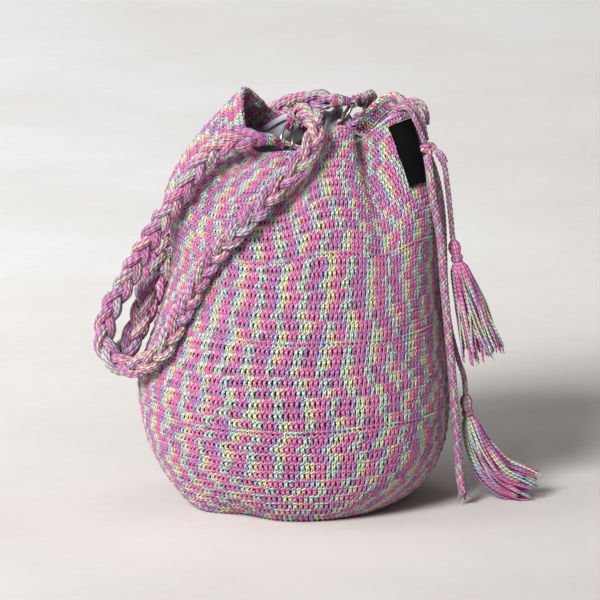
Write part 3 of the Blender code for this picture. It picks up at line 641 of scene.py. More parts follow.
def grid_faces(rows, columns, closed):
    """Faces of a grid of points, row by row."""
    index = np.arange(rows * columns).reshape(rows, columns)
    here, after = (index, np.roll(index, -1, axis=1)) if closed else (index[:, :-1], index[:, 1:])
    return np.stack([here[:-1], after[:-1], after[1:], here[1:]], axis=-1).reshape(-1, 4)


def worn(piece, body, *nodes, slot):
    """The piece rides on its body, stands for its nodes and takes its slot."""
    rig.ride(piece, body)
    if nodes:
        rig.replaces(piece, *nodes)
    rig.slot(piece, slot)
    return piece


def limp_cord(piece, line, radius, far_end, pieces):
    """Declares a cord that hangs along the line, with the pieces that go with it."""
    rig.cord(
        piece,
        exit=line[0],
        length=line_length(line),
        diameter=2 * radius,
        far_end=far_end,
        stiffness="limp",
        lay="hanging",
        path=line.tolist(),
        with_pieces=pieces,
    )


# ---- Materials ----


class Look:
    """A material in the making, with its nodes, its links and its shader."""

    def __init__(self, name):
        self.material = bpy.data.materials.new(name)
        self.material.use_nodes = True
        self.nodes, self.links = self.material.node_tree.nodes, self.material.node_tree.links

    def node(self, kind, **settings):
        made = self.nodes.new("ShaderNode" + kind)
        for name, value in settings.items():
            setattr(made, name, value)
        return made

    def feed(self, socket, value):
        """Links another node's result to a socket, or sets the socket to a number or a colour."""
        if isinstance(value, bpy.types.NodeSocket):
            self.links.new(value, socket)
        else:
            socket.default_value = value if isinstance(value, (int, float)) else (*value, 1.0)

    def maths(self, operation, *values):
        made = self.node("Math", operation=operation)
        for socket, value in zip(made.inputs, values):
            self.feed(socket, value)
        return made.outputs[0]

    def ramp(self, source, *stops):
        """A colour ramp; each stop is a place and a colour or a grey."""
        made = self.node("ValToRGB")
        elements = made.color_ramp.elements
        while len(elements) > 1:
            elements.remove(elements[-1])
        for i, (place, colour) in enumerate(stops):
            element = elements[0] if i == 0 else elements.new(place)
            element.position = place
            element.color = (*((colour,) * 3 if isinstance(colour, float) else colour), 1.0)
        self.feed(made.inputs[0], source)
        return made.outputs[0]

    def mixed(self, share, first, second, blend="MIX"):
        made = self.node("Mix", data_type="RGBA", blend_type=blend)
        for socket, value in zip((made.inputs[0], made.inputs[6], made.inputs[7]), (share, first, second)):
            self.feed(socket, value)
        return made.outputs[2]

    def place(self):
        return self.node("TexCoord").outputs["Object"]

    def split(self, vector):
        made = self.node("SeparateXYZ")
        self.feed(made.inputs[0], vector)
        return tuple(made.outputs)

    def corner_values(self):
        return self.split(self.node("Attribute", attribute_name="yarn").outputs["Vector"])

    def noise(self, scale, detail=2.0, roughness=0.5):
        made = self.node("TexNoise")
        for name, value in (("Scale", scale), ("Detail", detail), ("Roughness", roughness)):
            made.inputs[name].default_value = value
        self.links.new(self.place(), made.inputs["Vector"])
        return made.outputs["Fac"]

    def bumped(self, height, strength, distance):
        made = self.node("Bump")
        for name, value in (("Strength", strength), ("Distance", distance), ("Height", height)):
            self.feed(made.inputs[name], value)
        return made.outputs[0]

    def done(self, **inputs):
        """Feeds the shader's inputs, named with _ for each space, and hands over the material."""
        for name, value in inputs.items():
            self.feed(self.nodes["Principled BSDF"].inputs[name.replace("_", " ")], value)
        return self.material


def darker(colour, share):
    return tuple(part * share for part in colour)


def yarn_material(name, colours, shade=1.0, pale=0.42, muted=0.0, cut=0.24):
    """Variegated yarn: colour by its place in the repeat, plies with painted shade in their grooves, loose pale fibres
    that also give painted highlights, and a soft sheen.

    shade dims it all, pale is the most that the pale fibres and painted highlights show, muted is the share of the
    dusty shade, and cut is how light the painted shade in the grooves between the plies stays.
    """
    look = Look(name)
    place, twist, _ = look.corner_values()
    drift = look.maths("MULTIPLY", look.noise(420.0, 1.0), 0.05)
    phase = look.maths("FRACT", look.maths("ADD", place, drift))
    dyed = look.ramp(phase, *((stop, getattr(colours, dye)) for stop, dye in YARN_REPEAT))
    if muted:
        dyed = look.mixed(muted, dyed, colours.mauve)
    plies = look.maths("SINE", look.maths("MULTIPLY", twist, 2 * math.pi))
    plies = look.maths("MULTIPLY_ADD", plies, 0.5, 0.5)
    fine = look.noise(1100.0, 3.0, 0.65)
    # pale fibres, partly painted highlights: white specks that stand for glints on the yarn
    fibre_and_highlight_spots = look.ramp(fine, (0.48, 0.0), (0.64, 1.0))
    # painted shade: the grooves between the plies are darkened by the multiply below
    ply_groove_shade = look.ramp(plies, (0.0, cut * shade), (0.55, shade))
    dye_with_groove_shade = look.mixed(1.0, dyed, ply_groove_shade, "MULTIPLY")
    height = look.maths("ADD", plies, look.maths("MULTIPLY", fine, 0.8))
    return look.done(
        Base_Color=look.mixed(look.maths("MULTIPLY", fibre_and_highlight_spots, pale), dye_with_groove_shade, colours.fibre_and_highlight),
        Normal=look.bumped(height, 0.9, 0.0007),
        Roughness=0.62,
        Specular_IOR_Level=0.45,
        Sheen_Weight=0.15,
        Sheen_Roughness=0.5,
    )


# ---- What a user may change ----


def colour(name, description, value):
    return bpy.props.FloatVectorProperty(
        name=name, description=description, subtype="COLOR", size=3, min=0, max=1, default=value
    )


def length(name, description, value):
    return bpy.props.FloatProperty(name=name, description=description, unit="LENGTH", default=value, min=0)


class YarnColours(bpy.types.PropertyGroup):
    rose: colour("Rose", "Deepest pink of the yarn", (0.75, 0.075, 0.37))
    pink: colour("Pink", "Main pink of the yarn", (0.80, 0.17, 0.45))
    coral: colour("Coral", "Orange stretch between pink and yellow", (0.88, 0.42, 0.30))
    yellow: colour("Yellow", "Yellow stretch of the yarn", (0.84, 0.79, 0.40))
    lime: colour("Lime", "Yellow green stretch of the yarn", (0.62, 0.76, 0.43))
    mint: colour("Mint", "Pale green stretch of the yarn", (0.53, 0.70, 0.54))
    sky: colour("Sky", "Pale blue stretch of the yarn", (0.50, 0.67, 0.78))
    lavender: colour("Lavender", "Bluish violet stretch of the yarn", (0.44, 0.38, 0.66))
    violet: colour("Violet", "Reddish violet stretch of the yarn", (0.47, 0.12, 0.46))
    plum: colour("Plum", "Darkest violet of the yarn", (0.33, 0.07, 0.29))
    # pale fibres, also used as painted highlights on the yarn
    fibre_and_highlight: colour("Fibre", "Loose undyed fibres", (0.88, 0.85, 0.84))
    mauve: colour("Mauve", "Dusty shade that braids and cords blend towards", (0.42, 0.18, 0.31))
    lining: colour("Lining", "Lining cloth", (0.54, 0.51, 0.60))
    steel: colour("Steel", "Rings", (0.56, 0.52, 0.45))
    label: colour("Label", "Label's ribbon", (0.0035, 0.0035, 0.0040))
    backdrop: colour("Backdrop", "Floor far behind the bag", (0.92, 0.91, 0.90))
    floor: colour("Floor", "Floor under the bag", (0.79, 0.76, 0.735))


class BagSizes(bpy.types.PropertyGroup):
    stitch_width: length("Stitch width", "Width of a double crochet stitch", 0.0052)
    row_height: length("Round height", "Height of a round of double crochet", 0.0104)
    ridge_height: length("Ridge height", "Height of a round of single crochet", 0.0046)
    yarn_radius: length("Yarn radius", "Half the yarn's thickness in a stitch", 0.00110)
    repeat: bpy.props.FloatProperty(
        name="Colour repeat", description="Stitches from one pink stretch to the next", default=10.2, min=2
    )
    yarn_repeat: length("Yarn repeat", "Length of yarn from one pink stretch to the next", 0.30)
    plait_pitch: length("Plait pitch", "Length in which a strand of the braid comes round again", 0.064)
    strand_radius: length("Strand radius", "Half the thickness of a braid's strand", 0.0051)


def colours_of(context):
    return context.scene.bag_colours


def sizes_of(context):
    return context.scene.bag_sizes


# ---- Stage ----


class BAG_OT_stage(bpy.types.Operator):
    """Wide pale floor, soft lamps and the camera"""

    bl_idname = "bucket_bag.stage"
    bl_label = "Stage and camera"

    def execute(self, context):
        scene = context.scene
        self.backdrop(colours_of(context))
        for name, place, target, power, size in LAMPS:
            self.lamp(name, Vector(place), Vector(target), power, size)
        world = bpy.data.worlds.new("studio")
        world.use_nodes = True
        background = world.node_tree.nodes["Background"]
        background.inputs[0].default_value = WORLD_COLOUR
        background.inputs[1].default_value = WORLD_STRENGTH
        scene.world = world
        scene.view_settings.view_transform = "Standard"
        data = bpy.data.cameras.new("camera")
        tilt = math.radians(CAMERA_ELEVATION)
        back = Vector((0, -math.cos(tilt), math.sin(tilt)))
        scene.camera = self.placed(data, Vector(CAMERA_TARGET) + back * CAMERA_DISTANCE, -back)
        data.lens = data.sensor_width * CAMERA_DISTANCE / FRAME_WIDTH
        data.clip_end = CAMERA_REACH
        return {"FINISHED"}

    def placed(self, data, place, way):
        """A lamp or camera at a place, looking a way."""
        thing = bpy.data.objects.new(data.name, data)
        thing.location = place
        thing.rotation_euler = way.to_track_quat("-Z", "Y").to_euler()
        bpy.context.scene.collection.objects.link(thing)
        return thing

    def lamp(self, name, place, target, power, size):
        """A square soft box, or without a size a lamp as even as the sun."""
        data = bpy.data.lights.new(name, "AREA" if size else "SUN")
        data.energy = power
        if size:
            data.size = size
        else:
            data.angle = math.radians(SUN_SPREAD)
        self.placed(data, place, target - place)

    def backdrop(self, colours):
        """A wide floor that turns paler towards the back, with painted shade towards the right, so that the bag can be
        seen from all round.
        """
        steps = np.linspace(-FLOOR_REACH, FLOOR_REACH, FLOOR_STEPS)
        points = np.array([(x, y, 0.0) for y in steps for x in steps])
        look = Look("backdrop_plaster")
        cloudy, grain = look.noise(2.2, 4.0, 0.6), look.noise(60.0, 3.0, 0.6)
        both = look.maths("ADD", cloudy, look.maths("MULTIPLY", grain, 0.25))
        x, y, _ = look.split(look.place())
        back, right = look.maths("MULTIPLY", y, 0.5), look.maths("ADD", x, 0.5)
        base = look.ramp(back, (0.10, colours.floor), (0.55, colours.backdrop))
        mottle = look.ramp(both, (0.40, (0.90, 0.885, 0.87)), (0.74, 1.0))
        # painted shade: the floor is darker towards the right, standing for light that falls from the left
        painted_falloff_shade = look.ramp(right, (0.15, 1.0), (0.85, (0.84, 0.83, 0.82)))
        tone = look.mixed(1.0, look.mixed(1.0, base, mottle, "MULTIPLY"), painted_falloff_shade, "MULTIPLY")
        material = look.done(Base_Color=tone, Roughness=0.9)
        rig.stage(made_mesh("backdrop", points, grid_faces(FLOOR_STEPS, FLOOR_STEPS, False), material))


# ---- Braided handles ----


def plait(yarn, line, sizes, rng, facing):
    """Three strands of eight yarns each, plaited along a line, with the flat side facing a direction."""
    along = unit(np.gradient(line, axis=0))
    width = unit(np.cross(along, np.broadcast_to(np.asarray(facing, float), line.shape)))
    through = np.cross(width, along)
    walked = walked_along(line)
    ends = np.clip(np.minimum(walked, walked[-1] - walked) / PLAIT_END_LENGTH, 0, 1)
    gather = 0.55 + 0.45 * ends * ends * (3 - 2 * ends)
    reach = (HANDLE_RADIUS - sizes.strand_radius + 0.0006) * gather
    wobble = 0.06 * np.sin(walked / 0.043 + rng.uniform(0, 6))
    wobble = wobble + 0.05 * np.sin(walked / 0.071 + rng.uniform(0, 6))
    for strand in range(3):
        turn = 2 * math.pi * (walked / sizes.plait_pitch + wobble + strand / 3)
        middle = line + (reach * np.sin(turn))[:, None] * width
        middle = middle + (PLAIT_DEPTH * gather * np.sin(2 * turn))[:, None] * through
        _, side, across = frame_of(middle)
        for thread in range(STRAND_YARNS):
            spin = 2 * math.pi * (thread / STRAND_YARNS + walked / STRAND_LAY) + strand
            out = sizes.strand_radius * (0.66 + 0.07 * np.sin(walked / 0.03 + thread * 2.1))
            path = middle + (out * gather)[:, None] * turned(spin, side, across)
            phase = walked / sizes.yarn_repeat + rng.uniform(0, 1)
            thick = sizes.strand_radius * 0.33 * (0.75 + 0.25 * gather)
            yarn.add(path, thick, phase, 4, own=rng.uniform(0, 1), pitch=0.007)


class BAG_OT_handles(bpy.types.Operator):
    """The two braided handles with their wrapped ends on the rings"""

    bl_idname = "bucket_bag.handles"
    bl_label = "Braided handles"

    def execute(self, context):
        sizes = sizes_of(context)
        material = yarn_material("handle_yarn", colours_of(context), pale=0.26, muted=0.45, cut=0.42)
        wrap = yarn_material("whipping_yarn", colours_of(context), shade=0.8, pale=0.10)
        for name, ring, route, ends, facing in (
            ("handle_front", "ring_front", HANDLE_FRONT_ROUTE, (180, 62), (0.25, -0.95, 0.2)),
            ("handle_back", "ring_back", HANDLE_BACK_ROUTE, (118, 62), (0.3, 0.93, 0.2)),
        ):
            rng = np.random.default_rng(len(name))
            line = route_line(route, PLAIT_SPACING)
            yarn = Yarn()
            plait(yarn, line, sizes, rng, facing)
            piece = yarn.worn(name + "_plait", material, name, slot="handle_yarn")
            wraps = []
            for side, angle in zip(("left", "right"), ends):
                node = name.replace("handle", "whipping") + "_" + side
                yarn = Yarn()
                path = [ring_wire(ring, angle)[0], *handle_end(route, side == "left")]
                wound(yarn, ring, angle, path, WHIPPING_NECK_RADIUS, WHIPPING_RADIUS, rng)
                wraps.append(yarn.worn(node + "_wraps", wrap, node, slot="whipping_yarn"))
            limp_cord(piece, line, HANDLE_RADIUS, "object", wraps)
        return {"FINISHED"}


def ring_axes(name):
    """The ring's middle, its level direction and its upward one."""
    centre, turn, lean, _ = RINGS[name]
    turn, lean = math.radians(turn), math.radians(lean)
    across = np.array((math.cos(turn), math.sin(turn), 0))
    sideways = np.array((math.sin(turn), -math.cos(turn), 0))
    up = np.array((0, 0, math.cos(lean))) + sideways * math.sin(lean)
    return np.array(centre), across, up


def ring_wire(name, degrees):
    """The middle of the ring's wire at an angle, and the wire's direction there."""
    centre, across, up = ring_axes(name)
    angle = math.radians(degrees)
    outwards = across * math.cos(angle) + up * math.sin(angle)
    return centre + outwards * RING_RADIUS, up * math.cos(angle) - across * math.sin(angle)


def handle_end(route, first):
    """The end of a whipping's path: in line with the handle, and a little way over its end."""
    line = route_line(route, HANDLE_SPACING)
    point, inner = (line[0], line[1]) if first else (line[-1], line[-2])
    back = unit(point - inner)
    return [point + back * WHIPPING_STRAIGHT, point - back * WHIPPING_OVERLAP]


def wound(yarn, ring, angle, path, neck_radius, end_radius, rng):
    """Yarn wound side by side round a neck, with loops of it round the ring's wire."""
    place, wire = ring_wire(ring, angle)
    line = route_line(path, 0.0006)
    total = line_length(line)
    walked = np.linspace(0, total, len(line))
    along, side, across = frame_of(line)
    reach = RING_WIRE_RADIUS + EYE_CLEARANCE + WOUND_THICK
    start = reach + 0.001
    turns = (total - start) / (WOUND_THICK * 1.75)
    share = np.linspace(0, 1, max(40, int(turns * 16)))
    spots = start + share * (total - start)
    radius = np.interp(spots, [start, total], [neck_radius, end_radius]) - WOUND_THICK
    spin = 2 * math.pi * turns * share
    core, side, across = (read_at(spots, walked, each) for each in (line, side, across))
    phase = rng.uniform(0, 1) + share * 0.8
    yarn.add(core + radius[:, None] * turned(spin, side, across), WOUND_THICK, phase, 6, pitch=0.004)
    yarn.add(core, np.maximum(radius, 0.001), phase + 0.4, 8)
    axis = unit(wire)
    first = unit(np.cross(axis, along[0]))
    second = np.cross(axis, first)
    round_turns = np.linspace(0, 2 * math.pi, 25)
    for shift in EYE_LOOP_SHIFTS:
        loop = place + axis * shift + reach * turned(round_turns, first, second)
        yarn.add(loop, WOUND_THICK, rng.uniform(0, 1) + round_turns * 0.02, 6, pitch=0.004)


class BAG_OT_rings(bpy.types.Operator):
    """The steel rings and the crocheted tabs that hold them inside the rim"""

    bl_idname = "bucket_bag.rings"
    bl_label = "Rings and tabs"

    def execute(self, context):
        steel = self.steel(colours_of(context))
        tab_yarn = yarn_material("tab_yarn", colours_of(context))
        around, rim = (np.linspace(0, 2 * math.pi, many, endpoint=False) for many in (RING_STEPS, WIRE_SIDES))
        index = np.arange(RING_STEPS * WIRE_SIDES).reshape(RING_STEPS, WIRE_SIDES)
        after = np.roll(index, -1, axis=0)
        corners = (index, after, np.roll(after, -1, axis=1), np.roll(index, -1, axis=1))
        faces = np.stack(corners, axis=-1).reshape(-1, 4)
        for name, (*_, body) in RINGS.items():
            middle, across, up = ring_axes(name)
            out = RING_RADIUS + RING_WIRE_RADIUS * np.cos(rim)
            points = middle + turned(around, across, up)[:, None] * out[:, None]
            points = points + np.cross(across, up) * (RING_WIRE_RADIUS * np.sin(rim))[:, None]
            worn(made_mesh(name + "_wire", points.reshape(-1, 3), faces, steel), body, name, slot="ring_steel")
        for name, ring, angle in (("tab_front", "ring_front", -136.0), ("tab_back", "ring_back", 52.0)):
            rng = np.random.default_rng(len(name))
            yarn = Yarn()
            place, _ = ring_wire(ring, TAB_WIRE_ANGLE)
            _, _, up = ring_axes(ring)
            turn, level = np.array([math.radians(angle)]), np.array([TAB_LEVEL])
            seat = (wall(turn, level) - (SHELL_THICKNESS - 0.001) * wall_normals(turn, level))[0]
            bend = place - up * TAB_DROP + (seat - place) * TAB_BEND
            wound(yarn, ring, TAB_WIRE_ANGLE, [place, bend, seat], TAB_NECK_RADIUS, TAB_RADIUS, rng)
            yarn.worn(name + "_wraps", tab_yarn, name, slot="tab_yarn")
        return {"FINISHED"}

    def steel(self, colours):
        """Satin steel, duller and rougher in patches."""
        look = Look("ring_steel")
        patches = look.noise(260.0, 4.0, 0.65)
        return look.done(
            Base_Color=look.ramp(patches, (0.35, darker(colours.steel, 0.5)), (0.62, colours.steel)),
            Roughness=look.ramp(patches, (0.3, 0.45), (0.7, 0.24)),
            Normal=look.bumped(look.noise(1800.0), 0.15, 0.0002),
            Metallic=1.0,
        )


# ---- Cords, knot and tassels ----


def twisted(yarn, line, radius, strands, sizes, rng, lay=0.016, taper=0.0):
    """Yarns laid round each other into a cord; a taper thins the last stretch."""
    _, side, across = frame_of(line)
    walked = np.linspace(0, line_length(line), len(line))
    thick = radius / (1 + 1 / math.sin(math.pi / strands)) * 1.12
    thin = 1 - taper * (walked / walked[-1]) ** 3
    for strand in range(strands):
        spin = 2 * math.pi * (walked / lay + strand / strands)
        path = line + ((radius - thick) * thin)[:, None] * turned(spin, side, across)
        phase = walked / sizes.yarn_repeat * 1.3 + rng.uniform(0, 1)
        yarn.add(path, thick * thin, phase, 6, own=rng.uniform(0, 1), pitch=0.005)


class BAG_OT_cords(bpy.types.Operator):
    """The drawstring, its ends, the tie cord, the rim's tail and the knot outside the rim"""

    bl_idname = "bucket_bag.cords"
    bl_label = "Drawstring and knot"

    def execute(self, context):
        sizes = sizes_of(context)
        material = yarn_material("cord_yarn", colours_of(context), shade=0.9, pale=0.3, muted=0.6, cut=0.4)
        rng = np.random.default_rng(5)
        knot = self.knot(sizes, rng, yarn_material("knot_yarn", colours_of(context)))
        drawn = from_knot(DRAWSTRING_ROUTE)
        drawn = tuple(reversed(from_knot(tuple(reversed(drawn)))))
        short_end = (*from_knot(SHORT_END_ROUTE), TASSEL_SHORT_SPINE[1])
        long_end = (*from_knot(LONG_END_ROUTE), TASSEL_LONG_SPINE[1])
        stub_route = from_knot(TIE_STUB_ROUTE)
        stub, _ = self.cord("tie_cord_stub", stub_route, TIE_STUB_RADIUS, 4, sizes, rng, material)
        for name, route, radius, strands, far_end, going_with in (
            ("drawstring", drawn, DRAWSTRING_RADIUS, 3, "knot", [knot]),
            ("drawstring_end_short", short_end, DRAWSTRING_RADIUS, 3, "fitting", "tassel_short"),
            ("drawstring_end_long", long_end, DRAWSTRING_RADIUS, 3, "fitting", "tassel_long"),
            ("tie_cord", from_knot(TIE_CORD_ROUTE), TIE_CORD_RADIUS, 5, "bare", [stub]),
            ("rim_tail", RIM_TAIL_ROUTE, RIM_TAIL_RADIUS, 4, "bare", []),
        ):
            piece, line = self.cord(name, route, radius, strands, sizes, rng, material)
            if name == "tie_cord":
                going_with.append(self.fray(line, radius, rng, material))
            if isinstance(going_with, str):
                going_with = [bpy.data.objects[going_with + end] for end in ("_threads", "_binding_wraps")]
            limp_cord(piece, line, radius, far_end, going_with)
        return {"FINISHED"}

    def cord(self, name, route, radius, strands, sizes, rng, material):
        """A twisted cord that stands for the node of its name, and the line that it follows."""
        line = route_line(route, CORD_SPACING)
        yarn = Yarn()
        taper = RIM_TAIL_TAPER if name == "rim_tail" else 0.0
        twisted(yarn, line, radius, strands, sizes, rng, lay=radius * 5, taper=taper)
        return yarn.worn(name + "_twist", material, name, slot="cord_yarn"), line

    def fray(self, line, radius, rng, material):
        """Loose yarns at the cord's end."""
        yarn = Yarn()
        end, way = line[-1], unit(line[-1] - line[-6])
        share = np.linspace(0, 1, 7)[:, None]
        for _ in range(FRAY_YARNS):
            spread = rng.normal(0, 0.35, 3)
            spread[2] = abs(spread[2]) * 0.3
            reach = rng.uniform(0.006, 0.014)
            bend = rng.normal(0, 0.0012, 3)
            path = end - way * 0.004 + (way + spread) * reach * share + bend * share * share
            path = path + rng.normal(0, radius * 0.35, 3) * (1 - share * 0.4)
            path[:, 2] = np.maximum(path[:, 2], 0.0012)
            yarn.add(path, np.linspace(0.0010, 0.0005, 7), rng.uniform(0, 1), 5, pitch=0.004)
        return yarn.worn("tie_cord_frayed_end", material, slot="cord_yarn")

    def knot(self, sizes, rng, material):
        """Cords tied through one another: a three-lobed loop of laid yarns."""
        turn = np.linspace(0, 2 * math.pi, 120)
        x, y = np.sin(turn) + 2 * np.sin(2 * turn), np.cos(turn) - 2 * np.cos(2 * turn)
        loop = np.stack([x, y, -np.sin(3 * turn) * 1.6], axis=1) * (KNOT_RADIUS - 0.0026) / 3.0
        tilt = unit(np.array(KNOT_TILT))
        side = unit(np.cross(tilt, (0, 0, 1)))
        up = np.cross(side, tilt)
        line = KNOT_CENTRE + loop[:, :1] * side + loop[:, 1:2] * up + loop[:, 2:] * tilt
        yarn = Yarn()
        twisted(yarn, line, KNOT_CORD_RADIUS, 3, sizes, rng, lay=0.014)
        return yarn.worn("knot_loops", material, "knot", slot="knot_yarn")


class BAG_OT_tassels(bpy.types.Operator):
    """The two tassels: threads over a head, a bound neck and a loose skirt"""

    bl_idname = "bucket_bag.tassels"
    bl_label = "Tassels"

    def execute(self, context):
        sizes = sizes_of(context)
        material = yarn_material("tassel_yarn", colours_of(context), pale=0.18, shade=0.95, cut=0.5)
        wrap = yarn_material("binding_yarn", colours_of(context), shade=0.85)
        for name, spine, seed in (
            ("tassel_short", TASSEL_SHORT_SPINE, 11),
            ("tassel_long", TASSEL_LONG_SPINE, 12),
        ):
            self.tassel(name, spine, np.random.default_rng(seed), sizes, material, wrap)
        return {"FINISHED"}

    def tassel(self, name, route, rng, sizes, material, wrap):
        """Threads spread evenly over the tassel's cross-section, looser below the neck, and its binding."""
        length, head, neck = TASSEL_HEAD_LENGTH, TASSEL_HEAD_RADIUS, TASSEL_NECK_RADIUS
        thick = TASSEL_THREAD_RADIUS
        line = route_line(route, 0.002)
        total = line_length(line)
        walked = np.linspace(0, total, len(line))
        bound = length + BINDING_WIDTH
        stations = [0, length * 0.2, length * 0.5, length * 0.8, length]
        stations += [bound, bound + length * 0.5, total * 0.6, total]
        upper = [head * 0.35, head * 0.85, head, head * 0.85, neck, neck, neck * 2.2]
        wide = [*upper, TASSEL_SKIRT_HALF_WIDTH, TASSEL_TIP_HALF_WIDTH]
        high = [*upper, TASSEL_SKIRT_HALF_HEIGHT, TASSEL_TIP_HALF_HEIGHT]
        along = unit(np.gradient(line, axis=0))
        level = unit(np.cross(along, (1, 0.25, 0.3)))
        over = np.cross(level, along)
        yarn = Yarn()
        for thread in range(TASSEL_THREADS):
            reach = math.sqrt((thread + 0.5) / TASSEL_THREADS)
            spots = np.linspace(0.001, total * rng.uniform(0.90, 1.09), 34)
            on = read_at(spots, walked, line) + along[-1] * np.maximum(spots - total, 0)[:, None]
            level_at, over_at = read_at(spots, walked, level), read_at(spots, walked, over)
            loose = np.clip((spots - bound) / (total - bound), 0, 1)
            across = np.interp(spots, stations, wide) - thick
            upward = np.interp(spots, stations, high) - thick
            swing = thread * GOLDEN_ANGLE + loose * rng.normal(0, 0.5)
            sway = loose * TASSEL_SWAY * 0.35
            curl = spots / rng.uniform(0.010, 0.022) + rng.uniform(0, 6)
            path = on + (reach * across * np.cos(swing))[:, None] * level_at
            path = path + (reach * upward * np.sin(swing))[:, None] * over_at
            path = path + (sway * np.sin(curl))[:, None] * level_at
            path = path + (sway * np.cos(curl * 0.8))[:, None] * over_at
            path[:, 2] = np.maximum(path[:, 2], thick)
            radius = np.full(len(spots), thick)
            radius[-1] = thick * 0.5
            phase = rng.uniform(0, 1) + spots / sizes.yarn_repeat
            yarn.add(path, radius, phase, 4, own=rng.uniform(0, 1), pitch=0.0045)
        yarn.worn(name + "_threads", material, name, slot="tassel_yarn")
        share = np.linspace(0, 1, BINDING_TURNS * 20)
        spots = length + 0.001 + share * (BINDING_WIDTH - 0.002)
        spin = 2 * math.pi * BINDING_TURNS * share
        on, level_at, over_at = (read_at(spots, walked, each) for each in (line, level, over))
        coil = on + (neck + 0.0007) * turned(spin, level_at, over_at)
        yarn = Yarn()
        yarn.add(coil, 0.0011, 0.5 + share * 0.2, 6, pitch=0.004)
        yarn.worn(name + "_binding_wraps", wrap, name + "_binding", slot="binding_yarn")


# ---- Crocheted wall ----


def arc_levels(first, last, rows):
    """Levels that cut the wall into rounds of even height, measured along its front."""
    fine = np.linspace(first, last, 400)
    spots = wall(np.radians(-90.0) * np.ones_like(fine), fine)
    if first < 0:
        spots = np.stack([fine, fine * 0, fine * 0], axis=1)
    walked = walked_along(spots)
    return np.interp(np.linspace(0, walked[-1], rows + 1), walked, fine)


def even_turns(level):
    """Angles against the share of a round's length, so that its stitches come out equally wide."""
    turns = np.linspace(0, 2 * math.pi, 361)
    walked = walked_along(wall(turns, np.full_like(turns, level)))
    return walked / walked[-1] * 2 * math.pi, turns


def round_length(level):
    """How far it is round the wall at a level."""
    turns = np.radians(np.linspace(0, 360, 241))
    return line_length(wall(turns, np.full_like(turns, level)))


def rounds_of(sizes):
    """The bag's rounds from the middle of the base to the rim.

    Each has its two levels, how many stitches it has, whether they are single crochet, the yarn's place in
    its colour repeat where it starts, and its number.
    """
    rows = []
    rng = np.random.default_rng(7)
    most = round(round_length(BELLY_HEIGHT) / sizes.stitch_width)
    bands = [(-BASE_ROUNDS_REACH, -0.0005, False)]
    start, half = 0.0005, sizes.ridge_height / 2
    for ridge in RIDGE_HEIGHTS:
        bands += [(start, ridge - half, False), (ridge - half, ridge + half, True)]
        start = ridge + half
    last_round = RIM_HEIGHT - LAST_ROUND_HEIGHT
    bands += [(start, last_round, False), (last_round, RIM_HEIGHT, True)]
    place = 0.0
    for first, last, single in bands:
        fine = np.linspace(first, last, 60)
        tall = line_length(wall(np.radians(-30.0) * np.ones_like(fine), fine)) if first > 0 else last - first
        levels = arc_levels(first, last, 1 if single else max(1, round(tall / sizes.row_height)))
        for low, high in zip(levels, levels[1:]):
            middle = (low + high) / 2
            around = round_length(middle)
            count = min(most, round(around / sizes.stitch_width)) if middle < 0.1 else most
            rows.append((low, high, max(8, count), single, place, len(rows)))
            whole = count * (SINGLE_YARN_USE if single else 1.0) / sizes.repeat
            shift = rng.choice(ROUND_SHIFTS) + rng.normal(0.0, 0.04)
            place += round(whole) + shift
    return rows


def wave(angles, levels):
    """How far the rounds stray up and down along the wall."""
    fade = np.clip((levels - 0.03) / 0.04, 0, 1) * np.clip((0.370 - levels) / 0.03, 0, 1)
    return fade * (0.0010 * np.sin(angles * 3 + 40 * levels) + 0.0007 * np.sin(angles * 7 + 90 * levels))


def round_levels(angles, heights):
    """Levels of rounds that lie flat round the belly and follow the rim's folds only near the mouth."""
    fold = round_hermite(RIM_FOLDS, 2, np.degrees(angles))
    share = np.clip((heights - FOLLOW_START) / (RIM_HEIGHT - FOLLOW_START), 0, 1)
    real = heights + fold * eased(share) ** 1.2
    up = (real - PLEAT_START_HEIGHT) / (RIM_HEIGHT + fold - PLEAT_START_HEIGHT)
    pleated = PLEAT_START_HEIGHT + up * (RIM_HEIGHT - PLEAT_START_HEIGHT)
    return np.where(real > PLEAT_START_HEIGHT, pleated, real)


